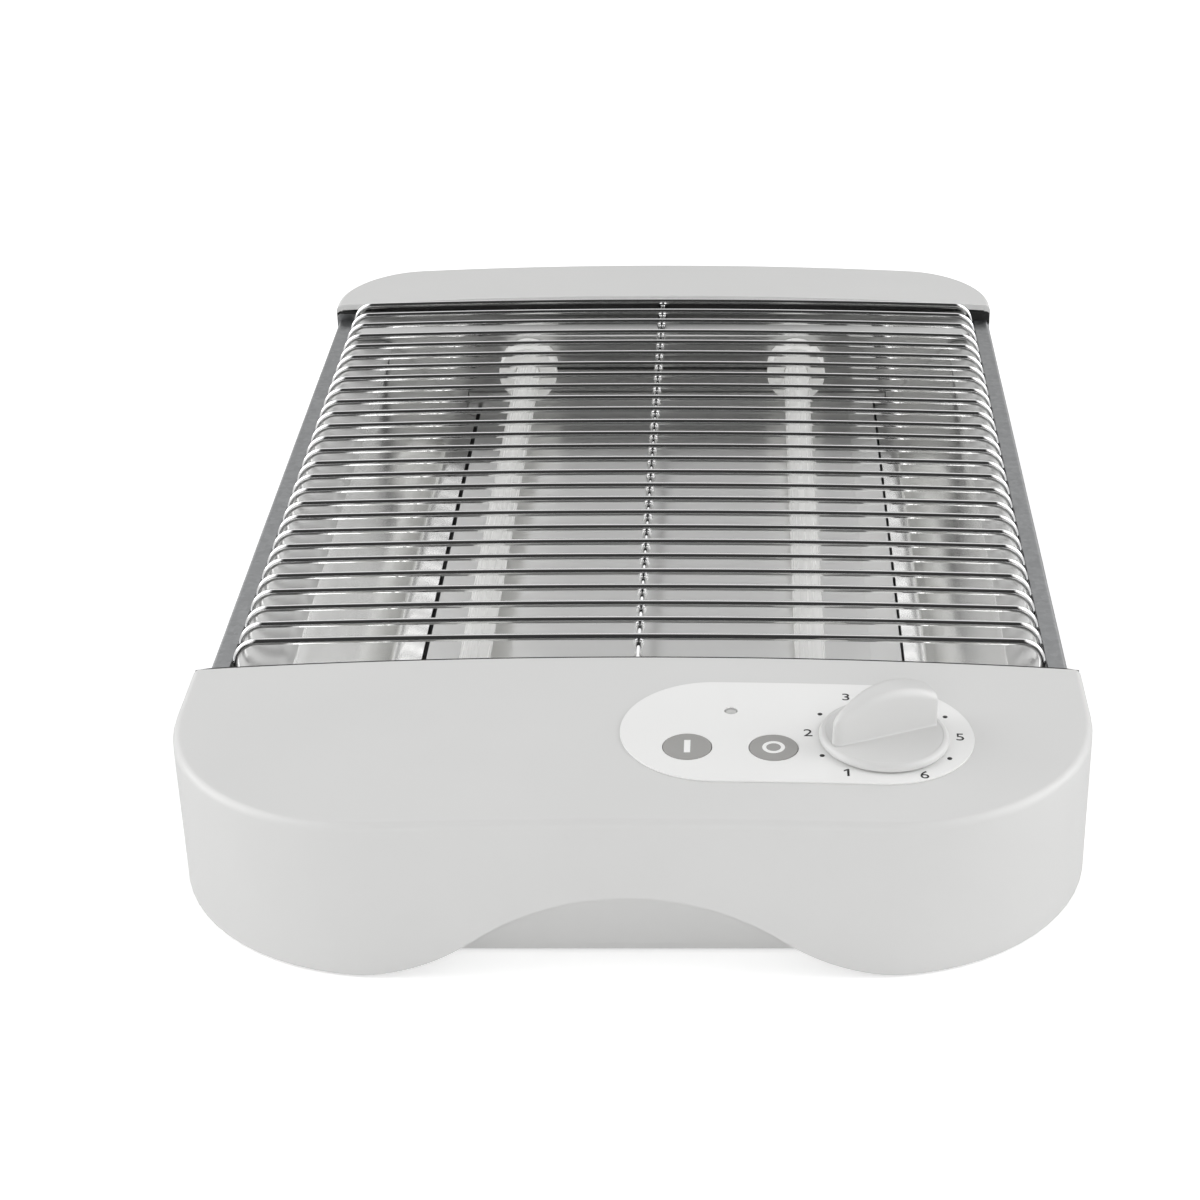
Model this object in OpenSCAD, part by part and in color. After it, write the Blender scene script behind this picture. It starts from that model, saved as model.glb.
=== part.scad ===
// Horizontal countertop toaster. Two plastic end caps close a sheet-metal trough,
// a wire grid carries the bread over two quartz heaters, and a crumb tray slides out at the back.
// Origin: middle of the footprint on the table. +X right, +Y to the back, +Z up. Millimetres.

/* [Overall] */
// Length over both end caps
body_length = 387; // [370:1:410]
// Width of the front cap
body_width = 246; // [236:1:256]
// How far each side of the rear cap stands in from the front cap's side
rear_step = 1.5; // [1:0.1:2]
// Height of the end caps at their middle line
cap_height = 47.5; // [46.5:0.5:52]
// Radius of the shallow crown across the end caps
crown_radius = 1900; // [1600:50:2600]
// Height of the end caps' lower rim above the table
rim_height = 0.6; // [0.4:0.1:1]

/* [End caps] */
// Depth of the front cap
front_cap_depth = 82.5; // [81:0.5:86]
// Depth of the rear cap
rear_cap_depth = 33; // [31:0.5:36]
// Plan radius of the front cap's corners
front_corner_radius = 60; // [50:1:62]
// Plan radius of the rear cap's corners
rear_corner_radius = 29; // [24:1:32]
// Rounding of the caps' upper edge
edge_round = 2.2; // [2:0.1:4]
// Wall thickness of the caps
cap_wall = 2.2; // [1.8:0.1:2.4]

/* [Finger recess] */
// Half of the span of the arch under the front cap
recess_half_span = 71; // [66:1:74]
// Height of the arch's crest above the rim
recess_height = 24.2; // [20:0.2:26]
// Radius of the arch's crest
recess_crest_radius = 65; // [60:1:70]
// Depth of the recess behind the front face
recess_depth = 12; // [9:0.5:13]
// Wall thickness of the recess
recess_wall = 1.8; // [1.5:0.1:2.2]

/* [Metal body] */
// Thickness of the body sheet
sheet = 0.8; // [0.6:0.1:1]
// Thickness of the reflector and tray sheet, measured upright
bright_sheet = 0.7; // [0.5:0.1:0.8]
// Height of the side strips' upper face
strip_height = 38; // [36:0.5:39]
// Width of the side strips
strip_width = 5.2; // [4.6:0.1:5.4]
// Drop from the side strips to the ledge that the hoops stand on
ledge_drop = 1.6; // [1.4:0.2:5]
// Underside of the bottom plate
bottom_height = 3; // [2.6:0.1:3.4]
// Distance from the front cap's edge back to the front bulkhead
front_wall_gap = 3.6; // [3:0.1:4]
// Distance from the rear cap's edge forward to the rear bulkhead
rear_wall_gap = 16.5; // [15.5:0.1:17.5]
// Height of the rear bulkhead's upper bend
rear_wall_height = 38; // [37.5:0.5:39]
// Rise of the rear bulkhead's flange towards the rear cap
rear_flange_rise = 3.4; // [2.6:0.2:3.4]

/* [Grid] */
// Number of hoops
hoop_count = 27; // [20:1:27]
// Distance from the front cap to the first hoop
grid_front_gap = 15; // [14:0.5:16]
// Distance from the last hoop to the rear cap
grid_rear_gap = 1.7; // [1.2:0.1:2]
// Thickness of the hoops' wire
hoop_wire = 2; // [1.8:0.1:2.2]
// Height of the grid's upper side
grid_height = 46.8; // [46:0.1:47]
// Bend radius of the hoops
hoop_bend = 6.6; // [3.5:0.1:7]
// Diameter of the lengthwise rod
rod_wire = 2.6; // [2.2:0.1:2.8]

/* [Heaters] */
// Distance of a heater from the middle line
heater_x = 49; // [46:1:52]
// Height of the heater axis
heater_z = 27; // [25:0.5:28]
// Diameter of the quartz tube
tube_diameter = 9; // [8:0.5:10]
// Diameter of the ceramic holder
holder_diameter = 21; // [18:1:22]

/* [Crumb tray] */
// Height of the tray floor's upper face
tray_height = 10; // [9.5:0.1:10.5]
// Left edge of the tray, measured from the middle
tray_left = -67.4; // [-67.8:0.1:-66]
// Fold between the tray floor and its right rim
tray_fold = 68.5; // [67:0.5:69]
// Right edge of the tray's rim
tray_right = 77.6; // [76.5:0.1:77.8]

/* [Controls] */
// Dial axis, measured to the right of the middle
dial_x = 66.1; // [65:0.1:67]
// Dial axis, measured behind the front face
dial_depth = 40.5; // [40:0.5:42]
// Diameter of the timer knob
knob_diameter = 34.2; // [32:0.2:35]
// Height of the timer knob over the panel
knob_height = 14.6; // [14:0.2:18]
// Direction of the grip at rest, counted from +X
grip_angle = 25; // [0:1:60]
// Round ends of the control panel
panel_radius = 24.8; // [24:0.1:25.5]
// Centre of the panel's left end, to the right of the middle
panel_left_x = 21.8; // [21:0.1:23]
// Thickness of the control panel
panel_sheet = 0.45; // [0.3:0.05:0.6]
// Start button, to the right of the middle
start_x = 14.8; // [14:0.1:15.5]
// Stop button, to the right of the middle
stop_x = 37.2; // [36.5:0.1:38]
// Buttons, behind the front face
button_depth = 35.1; // [34.5:0.1:36]
// Diameter of the buttons
button_diameter = 12.4; // [12:0.1:13.5]
// Travel of the buttons
button_travel = 1.5; // [1:0.1:1.8]
// Pilot lamp, to the right of the middle
pilot_x = 26.1; // [25.5:0.1:26.5]
// Pilot lamp, behind the front face
pilot_depth = 53.5; // [53:0.1:54]
// Diameter of the pilot lamp's lens
pilot_diameter = 3.4; // [3:0.1:3.8]

/* [Fits] */
// Running clearance of the timer shaft, radial
shaft_fit = 0.05; // [0.02:0.01:0.1]
// Clearance round a button, radial
button_fit = 0.3; // [0.2:0.05:0.4]
// Clearance between sheet and cap
cap_fit = 0.3; // [0.2:0.05:0.4]

/* [Hidden] */
$fn = 64;

// Colours of the real materials
white_plastic = "#d8d7d4";
panel_white = "#eeeeec";
button_grey = "#9e9d9b";
galvanised = "#9a9c9c";
bright_steel = "#c9cacb";
chrome = "#d6d8da";
frosted_quartz = "#e6e6e2";
ceramic_white = "#f2f1ec";
heater_wire = "#6b6660";
black_insulation = "#1d1d1e";
board_green = "#2f6b46";
black_plastic = "#2a2a2b";
rubber_black = "#262626";
zinc = "#b4b6b8";

// A cut reaches this far past what it cuts
over = 1;
front_y = -body_length / 2;
back_y = body_length / 2;
front_edge_y = front_y + front_cap_depth;
rear_edge_y = back_y - rear_cap_depth;
side_x = body_width / 2 - cap_wall - cap_fit;
strip_in_x = side_x - strip_width;
side_front_y = front_edge_y - 20;
side_back_y = rear_edge_y - cap_fit;
rear_half = body_width / 2 - rear_step;
plate_top = bottom_height + sheet;
ceiling_z = cap_height - cap_wall;

// Sections of the caps' rounded skin
corner_steps = 16;
front_steps = 20;
round_steps = 6;
ceiling_steps = 24;
arch_steps = 12;
crown_fn = 720;

// Arch of the finger recess: two foot arcs run into the crest arc
foot_radius = (recess_half_span * recess_half_span + recess_height * recess_height)
    / (2 * recess_height) - recess_crest_radius;
arch_angle = asin(recess_half_span / (recess_crest_radius + foot_radius));

// Trough: each slope rises evenly from a flat lip to the ledge; the right lip ends over the tray's rim
front_wall_y = front_edge_y + front_wall_gap;
rear_wall_y = rear_edge_y - rear_wall_gap;
bulkhead_half = strip_in_x - 3.1;
front_wall_height = cap_height - 6.3;
flange_half = bulkhead_half - 7;
flange_depth = 10;
ledge_height = strip_height - ledge_drop;
reflector_top = strip_in_x - 2.4;
tray_gap = 0.8;
left_lip = [1.2 - tray_left, tray_height + 0.8];
left_knee = left_lip + [7.5, 1.6];
right_lip = [tray_right + tray_gap, tray_height + 3.2];
right_knee = right_lip + [5, 0.4];

// Crumb tray and its mouth in the rear cap
tray_rim_z = tray_height + 2.6;
tray_lift = 0.3;
tray_front_y = front_wall_y + sheet + 2;
rail_width = 4;
rail_place = 56;
slot_left = tray_left - 5;
slot_right = tray_right + 5;
slot_bottom = plate_top + 0.2;
slot_top = tray_height + 6;
pull_front_y = back_y - cap_wall - 1.5;
pull_fit = 0.4;
groove_half = 20;

// Grid
hoop_first_y = front_edge_y + grid_front_gap;
hoop_pitch = (rear_edge_y - grid_rear_gap - hoop_first_y) / (hoop_count - 1);
hoop_leg_x = strip_in_x - 0.3 - hoop_wire / 2;
hoop_axis_z = grid_height - hoop_wire / 2;
rod_axis_z = grid_height - hoop_wire - rod_wire / 2;

// Heaters
holder_length = 10;
neck_radius = 7;
neck_length = 6;
socket_floor = 2.8;
socket_fit = 0.05;
tube_wall = 0.9;
tube_front_y = front_wall_y + sheet + 3;
tube_back_y = rear_wall_y - 3;
coil_radius = 2.2;
coil_front_y = front_wall_y + sheet + socket_floor;
coil_back_y = rear_wall_y - socket_floor;
pin_radius = 1.5;
pin_length = 5;
pin_front_y = front_wall_y + sheet - neck_length - pin_length;
link_radius = 1;
link_y = rear_wall_y - 6;
link_z = heater_z + 1.4;
lead_radius = 1.2;
lead_y = pin_front_y - 8;
lead_z = 15;

// Base
cover_z = rim_height + 1;
cover_sheet = 1.8;
cover_top = cover_z + cover_sheet;
cover_back_y = side_front_y - 0.5;
cover_front_y = front_y + recess_depth + recess_wall + 0.4;
foot_pad_radius = 7;
front_foot = [body_width / 2 - 33, front_y + 50];
rear_foot = [body_width / 2 - 45, back_y - 17];
tail_half = body_width / 2 - 19;
tail_back_y = back_y - cap_wall - 5;
screw_radius = 1.3;
screw_top = 14;
head_radius = 2.8;
head_height = 1.1;
boss_radius = 4;
boss_hole = 1.4;
front_bosses = [[body_width / 2 - 15, front_y + 55], [body_width / 2 - 25, front_y + 28.5]];
rear_boss = [body_width / 2 - 25, back_y - 20];

// Controls: the dial stands square to the crowned cap
dial_y = front_y + dial_depth;
dial_z = crown(dial_x) + panel_sheet;
dial_tilt = asin(dial_x / crown_radius);
panel_y = dial_y + 3.2;
panel_right_x = dial_x - 0.9;
button_y = front_y + button_depth;
pilot_y = front_y + pilot_depth;
shaft_radius = 3;
shaft_hole = 4.5;
shaft_foot = -13;
shaft_shoulder = 1.6;
spigot_radius = 1.4;
spigot_top = 9;
bearing_top = -3.6;
knob_gap = 0.4;
knob_disc = 2.4;
knob_rim = 1.2;
grip_front = 2;
grip_back = 7.5;
grip_bulge = 55;
grip_swell = 10.5;
grip_peak = 1;
grip_round = 2.2;
grip_sweep = 28;
grip_reach = knob_diameter / 2 - 1.5;
button_proud = 0.3;
button_collar = 1.6;
collar_height = 1.2;
stem_radius = 2;
stem_gap = 0.3;
lens_foot_z = ceiling_z - 5.3;

// Boards and what stands on them
board_sheet = 1.6;
board_z = ceiling_z - 15.3;
board_top = board_z + board_sheet;
board_left = 2;
board_right = 92;
board_front_gap = 17.5;
board_back_gap = 12;
board_front_y = front_y + board_front_gap;
board_back_y = front_edge_y - board_back_gap;
post_radius = 2.5;
post_inset = 5;
switch_size = 6;
switch_height = 4;
plunger_height = 1;
power_board_z = 9;
power_inset = 33;
power_width = 80;
power_front_gap = 21.5;
power_back_gap = 11;
power_left = power_inset - body_width / 2;
power_right = power_left + power_width;
power_front_y = front_y + power_front_gap;
power_back_y = front_edge_y - power_back_gap;
relay_place = [30, 8];
relay_size = [28, 13, 16];
terminal_place = [5, 18];
terminal_size = [18, 26, 11];
terminal_pitch = 8;
lead_end_x = power_right - 10;
fuse_z = 32;

// Cord entry
gland_x = 39 - body_width / 2;
gland_z = 26;
gland_bore = 3.5;
gland_neck = 5.9;
gland_flange = 8;
gland_tail = 6;

// Height of the crowned skin at a distance from the middle line
function crown(x) = cap_height - crown_radius + sqrt(crown_radius * crown_radius - x * x);

// Plan of a cap, drawn in by an inset: right side, right corner, front, left corner, left side
function cap_path(half, depth, corner, inset) = let (r = corner - inset) concat(
    [[half - inset, depth]],
    [for (i = [0 : corner_steps]) let (a = -90 * i / corner_steps)
        [half - corner + r * cos(a), corner + r * sin(a)]],
    [for (i = [1 : front_steps - 1]) [(half - corner) * (1 - 2 * i / front_steps), inset]],
    [for (i = [0 : corner_steps]) let (a = -90 - 90 * i / corner_steps)
        [corner - half + r * cos(a), corner + r * sin(a)]],
    [[inset - half, depth]]);

// One level of the rounded upper edge
function cap_ring(half, depth, corner, turn) =
    [for (p = cap_path(half, depth, corner, edge_round * (1 - cos(turn))))
        [p[0], p[1], crown(p[0]) - edge_round * (1 - sin(turn))]];

// Solid of a cap with upright walls, a rounded upper edge and a crowned top, front face at y = 0
module cap_skin(half, depth, corner) {
    floor_ring = [for (p = cap_path(half, depth, corner, 0)) [p[0], p[1], rim_height]];
    rings = [for (k = [0 : round_steps]) cap_ring(half, depth, corner, 90 * k / round_steps)];
    top = rings[round_steps];
    n = len(floor_ring);
    levels = round_steps + 2;
    back_row = [for (i = [2 : n - 3]) [top[i][0], depth, top[i][2]]];
    points = concat(floor_ring, [for (ring = rings) each ring], back_row);
    first = levels * n;
    at_top = (levels - 1) * n;
    back = function (i) i < 2 ? at_top : i > n - 3 ? at_top + n - 1 : first + i - 2;
    walls = [for (k = [0 : levels - 2]) for (i = [0 : n - 2]) each [
        [k * n + i, k * n + i + 1, (k + 1) * n + i + 1],
        [k * n + i, (k + 1) * n + i + 1, (k + 1) * n + i]]];
    ends = [[at_top + 1, at_top + 2, back(2)], [at_top + 1, back(2), at_top],
        [at_top + n - 3, at_top + n - 2, at_top + n - 1], [at_top + n - 3, at_top + n - 1, back(n - 3)]];
    strips = [for (i = [2 : n - 4]) [at_top + i, at_top + i + 1, back(i + 1), back(i)]];
    base = [[for (i = [n - 1 : -1 : 0]) i]];
    rear = [concat([for (k = [0 : levels - 1]) k * n], [for (i = [2 : n - 3]) back(i)],
        [for (k = [levels - 1 : -1 : 0]) k * n + n - 1])];
    polyhedron(points, concat(walls, ends, strips, base, rear), convexity = 4);
}

// Plan of a cap's hollow
module inner_plan(half, depth, corner, inset) {
    translate([inset - half, corner])
        square([2 * (half - inset), depth - corner + over]);
    translate([corner - half, inset])
        square([2 * (half - corner), corner]);
    for (side = [-1, 1])
        translate([side * (half - corner), corner])
            circle(corner - inset, $fn = 128);
}

// Hollow of a cap, under a ceiling that follows the crown
module cap_hollow(half, depth, corner) {
    intersection() {
        translate([0, 0, -over])
            linear_extrude(cap_height + over)
                inner_plan(half, depth, corner, cap_wall);
        along_y(-over, depth + 2 * over)
            polygon(concat([[half, -2 * over], [-half, -2 * over]],
                [for (i = [0 : ceiling_steps]) let (x = half * (2 * i / ceiling_steps - 1))
                    [x, crown(x) - cap_wall]]));
    }
}

// A flat profile in the XZ plane, drawn out from y0 to y1
module along_y(y0, y1) {
    translate([0, y1, 0])
        rotate([90, 0, 0])
            linear_extrude(y1 - y0)
                children();
}

// An upright block between two corners
module block(low, high) {
    translate(low)
        cube(high - low);
}

// A round rod along +Y
module rod_y(x, y0, y1, z, r) {
    translate([x, y0, z])
        rotate([-90, 0, 0])
            cylinder(r = r, h = y1 - y0);
}

// Children on both sides of the middle plane
module both_sides() {
    children();
    mirror([1, 0, 0])
        children();
}

// Points of the arch's S-shaped edge, from its right foot to its left foot, widened by a wall
function arch_edge(wall) = let (r = recess_crest_radius + wall, f = foot_radius - wall) concat(
    [for (i = [0 : arch_steps]) let (a = arch_angle * i / arch_steps)
        [recess_half_span - f * sin(a), rim_height + foot_radius - f * cos(a)]],
    [for (i = [1 : 2 * arch_steps - 1]) let (a = arch_angle * (1 - i / arch_steps))
        [r * sin(a), rim_height + recess_height - recess_crest_radius + r * cos(a)]],
    [for (i = [arch_steps : -1 : 0]) let (a = arch_angle * i / arch_steps)
        [f * sin(a) - recess_half_span, rim_height + foot_radius - f * cos(a)]]);

// Area under the arch's edge
module arch(wall) {
    low = rim_height - over;
    polygon(concat([[-recess_half_span, low], [recess_half_span, low]], arch_edge(wall)));
}

// Moves children to the dial: square to the cap's skin, at the panel's upper face
module at_dial() {
    translate([dial_x, dial_y, dial_z])
        rotate([0, dial_tilt, 0])
            children();
}

// Everything that passes through the front cap's top
module control_holes() {
    for (x = [start_x, stop_x])
        translate([x, button_y, ceiling_z - 2 * cap_wall])
            cylinder(r = button_diameter / 2 + button_fit, h = 4 * cap_wall);
    translate([pilot_x, pilot_y, ceiling_z - 2 * cap_wall])
        cylinder(r = pilot_diameter / 2 + 0.1, h = 4 * cap_wall);
    at_dial()
        translate([0, 0, -3 * cap_wall])
            cylinder(r = shaft_hole, h = 4 * cap_wall);
}

// Screw posts of the front cap
module front_posts(r, z0, z1) {
    both_sides()
        for (p = front_bosses)
            translate([p[0], p[1], z0])
                cylinder(r = r, h = z1 - z0);
}

// Screw posts of the rear cap
module rear_posts(r, z0, z1) {
    both_sides()
        translate([rear_boss[0], rear_boss[1], z0])
            cylinder(r = r, h = z1 - z0);
}

// Posts that the control board hangs from
module board_posts() {
    for (x = [board_left + post_inset, board_right - post_inset])
        for (y = [board_front_y + post_inset, board_back_y - post_inset])
            translate([x, y, board_top])
                cylinder(r = post_radius, h = cap_height - board_top);
}

// Front cap: moulded shell with the finger recess under its front edge
module front_cap() {
    color(white_plastic)
        difference() {
            translate([0, front_y, 0])
                cap_skin(body_width / 2, front_cap_depth, front_corner_radius);
            difference() {
                translate([0, front_y, 0])
                    cap_hollow(body_width / 2, front_cap_depth, front_corner_radius);
                along_y(front_y - over, front_y + recess_depth + recess_wall)
                    arch(recess_wall);
                front_posts(boss_radius, cover_top, cap_height);
                board_posts();
            }
            along_y(front_y - over, front_y + recess_depth)
                arch(0);
            front_posts(boss_hole, cover_top - over, screw_top + over);
            control_holes();
        }
}

// Cover under the front cap, with posts for the power board
module front_cover() {
    color(white_plastic)
        difference() {
            union() {
                translate([0, 0, cover_z])
                    linear_extrude(cover_sheet)
                        intersection() {
                            translate([0, front_y])
                                inner_plan(body_width / 2, front_cap_depth, front_corner_radius,
                                    cap_wall + cap_fit);
                            translate([-body_width / 2, cover_front_y])
                                square([body_width, cover_back_y - cover_front_y]);
                        }
                for (x = [power_left + post_inset, power_right - post_inset])
                    for (y = [power_front_y + post_inset, cover_back_y - post_inset])
                        translate([x, y, cover_z])
                            cylinder(r = post_radius, h = power_board_z - cover_z);
            }
            front_posts(screw_radius + 0.2, cover_z - over, cover_top + over);
            front_posts(head_radius + 0.2, cover_z - over, cover_z + head_height + 0.1);
        }
}

// Rear cap: shallow moulded shell with the tray's mouth and the cord's entry in its back wall
module rear_cap() {
    color(white_plastic)
        difference() {
            translate([0, back_y, 0])
                rotate([0, 0, 180])
                    cap_skin(rear_half, rear_cap_depth, rear_corner_radius);
            difference() {
                translate([0, back_y, 0])
                    rotate([0, 0, 180])
                        cap_hollow(rear_half, rear_cap_depth, rear_corner_radius);
                rear_posts(boss_radius, plate_top, cap_height);
            }
            block([slot_left, back_y - cap_wall - over, slot_bottom],
                [slot_right, back_y + over, slot_top]);
            rod_y(gland_x, back_y - cap_wall - over, back_y + over, gland_z, gland_neck + 0.1);
            rear_posts(boss_hole, plate_top - over, screw_top + over);
        }
}

// Bottom plate, with a tail that the rear cap is screwed to
module bottom_plate() {
    half = side_x - 1;
    color(galvanised)
        difference() {
            union() {
                block([-half, side_front_y, bottom_height], [half, side_back_y, plate_top]);
                block([-tail_half, side_back_y - over, bottom_height], [tail_half, tail_back_y, plate_top]);
            }
            rear_posts(screw_radius + 0.2, bottom_height - over, plate_top + over);
        }
}

// Side panel: the upper flange is the strip beside the grid
module side_panel() {
    inner = side_x - sheet;
    turn = strip_height - sheet;
    foot = side_x - 12;
    color(galvanised)
        along_y(side_front_y, side_back_y)
            polygon([[strip_in_x, turn], [strip_in_x, strip_height], [side_x, strip_height],
                [side_x, plate_top], [foot, plate_top], [foot, plate_top + sheet],
                [inner, plate_top + sheet], [inner, turn]]);
}

module side_panel_right() {
    side_panel();
}

module side_panel_left() {
    mirror([1, 0, 0])
        side_panel();
}

// Sheet of even upright thickness under a row of points
module folded(points) {
    n = len(points);
    polygon(concat(points, [for (i = [n - 1 : -1 : 0]) points[i] - [0, bright_sheet]]));
}

// Bright ledge that the hoops stand on, beside the slope of a reflector
module reflector(slope) {
    outer = side_x - sheet - cap_fit;
    color(bright_steel) {
        along_y(side_front_y, side_back_y)
            folded([[reflector_top, ledge_height], [outer, ledge_height]]);
        along_y(front_wall_y + sheet + cap_fit, rear_wall_y - cap_fit)
            folded(concat(slope, [[reflector_top, ledge_height]]));
    }
}

// Upper end of a slope of 45 degrees
function shoulder(knee) = [min(knee[0] + ledge_height - knee[1], reflector_top - 2), ledge_height];

// Right reflector: its lip ends over the tray's rim
module reflector_right() {
    reflector([right_lip, right_knee, shoulder(right_knee)]);
}

// Left reflector: its lip lies beside the tray
module reflector_left() {
    mirror([1, 0, 0])
        reflector([left_lip, left_knee, shoulder(left_knee)]);
}

// Holes that the ceramic necks pass through
module neck_holes(y) {
    both_sides()
        rod_y(heater_x, y - over, y + sheet + over, heater_z, neck_radius + 0.1);
}

// Wall between the trough and the front cap
module front_bulkhead() {
    color(bright_steel) {
        difference() {
            block([-bulkhead_half, front_wall_y, plate_top],
                [bulkhead_half, front_wall_y + sheet, front_wall_height]);
            neck_holes(front_wall_y);
        }
        block([-flange_half, front_wall_y - flange_depth, front_wall_height - sheet],
            [flange_half, front_wall_y, front_wall_height]);
    }
}

// Wall at the back of the trough: flanged to the rear cap, open below for the tray
module rear_bulkhead() {
    color(bright_steel) {
        difference() {
            block([-bulkhead_half, rear_wall_y, plate_top],
                [bulkhead_half, rear_wall_y + sheet, rear_wall_height]);
            block([slot_left, rear_wall_y - over, plate_top - over],
                [slot_right, rear_wall_y + sheet + over, slot_top]);
            neck_holes(rear_wall_y);
        }
        translate([-bulkhead_half, 0, 0])
            rotate([90, 0, 90])
                linear_extrude(2 * bulkhead_half)
                    polygon([[rear_wall_y, rear_wall_height - sheet], [rear_wall_y, rear_wall_height],
                        [rear_edge_y + 0.5, rear_wall_height + rear_flange_rise],
                        [rear_edge_y + 0.5, rear_wall_height + rear_flange_rise - sheet]]);
    }
}

// Runners under the crumb tray
module tray_rails() {
    color(galvanised)
        both_sides()
            block([rail_place, front_wall_y + sheet + over, plate_top],
                [rail_place + rail_width, tail_back_y, tray_height - bright_sheet - tray_lift]);
}

// One hoop of the grid: a straight top, two bends and two legs
module hoop() {
    r = hoop_wire / 2;
    reach = hoop_leg_x - hoop_bend;
    drop = hoop_axis_z - hoop_bend;
    translate([-reach, 0, hoop_axis_z])
        rotate([0, 90, 0])
            cylinder(r = r, h = 2 * reach);
    both_sides() {
        translate([reach, 0, drop])
            rotate([90, 0, 0])
                rotate_extrude(angle = 90)
                    translate([hoop_bend, 0])
                        circle(r, $fn = 32);
        translate([hoop_leg_x, 0, ledge_height])
            cylinder(r = r, h = drop - ledge_height);
    }
}

// All hoops of the grid
module grid_hoops() {
    color(chrome)
        for (i = [0 : hoop_count - 1])
            translate([0, hoop_first_y + i * hoop_pitch, 0])
                hoop();
}

// Rod under the hoops, along the middle line
module grid_rod() {
    color(chrome)
        rod_y(0, front_edge_y - 6, rear_edge_y + 8, rod_axis_z, rod_wire / 2);
}

// Quartz tube round a heating coil
module quartz_tube(x) {
    color(frosted_quartz)
        difference() {
            rod_y(x, tube_front_y, tube_back_y, heater_z, tube_diameter / 2);
            rod_y(x, tube_front_y - over, tube_back_y + over, heater_z, tube_diameter / 2 - tube_wall);
        }
}

module quartz_tube_left() {
    quartz_tube(-heater_x);
}

module quartz_tube_right() {
    quartz_tube(heater_x);
}

// Envelope of the heating coil
module heater_coil(x) {
    color(heater_wire)
        rod_y(x, coil_front_y, coil_back_y, heater_z, coil_radius);
}

module heater_coil_left() {
    heater_coil(-heater_x);
}

module heater_coil_right() {
    heater_coil(heater_x);
}

// Ceramic holder on the +Y side of a wall at y = 0: a disc with a socket, and a neck through the wall
module holder() {
    difference() {
        union() {
            rod_y(0, 0, holder_length, 0, holder_diameter / 2);
            rod_y(0, -neck_length, 0, 0, neck_radius);
        }
        rod_y(0, socket_floor, holder_length + over, 0, tube_diameter / 2 + socket_fit);
        rod_y(0, -neck_length - over, socket_floor + over, 0, pin_radius + socket_fit);
    }
}

// The two holders behind the front bulkhead
module holders_front() {
    color(ceramic_white)
        both_sides()
            translate([heater_x, front_wall_y + sheet, heater_z])
                holder();
}

// The two holders before the rear bulkhead
module holders_rear() {
    color(ceramic_white)
        both_sides()
            translate([heater_x, rear_wall_y, heater_z])
                rotate([0, 0, 180])
                    holder();
}

// Contact pins in the four holders
module heater_pins() {
    color(zinc)
        both_sides() {
            rod_y(heater_x, pin_front_y, coil_front_y, heater_z, pin_radius);
            rod_y(heater_x, coil_back_y, rear_wall_y + neck_length + pin_length, heater_z, pin_radius);
        }
}

// Insulated wire between the rear holders
module link_wire() {
    reach = heater_x - holder_diameter / 2 - 0.1;
    color(black_insulation)
        translate([-reach, link_y, link_z])
            rotate([0, 90, 0])
                cylinder(r = link_radius, h = 2 * reach);
}

// Round corner of a lead
module elbow(place) {
    translate(place)
        sphere(r = lead_radius);
}

// Leads from the front contact pins to the power board
module supply_leads() {
    board = power_board_z + board_sheet;
    color(black_insulation) {
        for (x = [-heater_x, heater_x]) {
            rod_y(x, lead_y, pin_front_y - 0.1, heater_z, lead_radius);
            elbow([x, lead_y, heater_z]);
        }
        translate([-heater_x, lead_y, board])
            cylinder(r = lead_radius, h = heater_z - board);
        translate([heater_x, lead_y, lead_z])
            cylinder(r = lead_radius, h = heater_z - lead_z);
        elbow([heater_x, lead_y, lead_z]);
        translate([lead_end_x, lead_y, lead_z])
            rotate([0, 90, 0])
                cylinder(r = lead_radius, h = heater_x - lead_end_x);
        elbow([lead_end_x, lead_y, lead_z]);
        translate([lead_end_x, lead_y, board])
            cylinder(r = lead_radius, h = lead_z - board);
    }
}

// Control panel: a thin round-ended sheet that follows the crown
module control_panel() {
    color(panel_white)
        difference() {
            intersection() {
                linear_extrude(cap_height + panel_sheet + over) {
                    translate([panel_left_x, panel_y - panel_radius])
                        square([panel_right_x - panel_left_x, 2 * panel_radius]);
                    for (x = [panel_left_x, panel_right_x])
                        translate([x, panel_y])
                            circle(panel_radius, $fn = 128);
                }
                translate([0, 0, cap_height - crown_radius])
                    rotate([90, 0, 0])
                        difference() {
                            cylinder(r = crown_radius + panel_sheet, h = body_length / 2, $fn = crown_fn);
                            translate([0, 0, -over])
                                cylinder(r = crown_radius + 0.01, h = body_length / 2 + 2 * over,
                                    $fn = crown_fn);
                        }
            }
            control_holes();
        }
}

// Lens of the pilot lamp
module pilot_lens() {
    color(button_grey)
        translate([pilot_x, pilot_y, lens_foot_z])
            cylinder(r = pilot_diameter / 2, h = crown(pilot_x) + panel_sheet + 0.2 - lens_foot_z);
}

// Lamp under the lens
module pilot_led() {
    color("#8fbf6a")
        translate([pilot_x, pilot_y, board_top])
            cylinder(r = 1.5, h = lens_foot_z - 0.5 - board_top);
}

// Board under the controls
module control_board() {
    color(board_green)
        block([board_left, board_front_y, board_z], [board_right, board_back_y, board_top]);
}

// Timer with the bearing of the dial's shaft
module timer_body() {
    low = board_top + 1 - dial_z;
    color(black_plastic)
        difference() {
            union() {
                block([dial_x - 7, dial_y - 7, board_top], [dial_x + 7, dial_y + 7, board_top + 1.7]);
                at_dial() {
                    block([-9, -9, low], [9, 9, low + 7]);
                    translate([0, 0, low + 6])
                        cylinder(r = 5, h = bearing_top - low - 6);
                }
            }
            at_dial()
                translate([0, 0, shaft_foot - 0.5])
                    cylinder(r = shaft_radius + shaft_fit, h = bearing_top + over - shaft_foot);
        }
}

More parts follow.
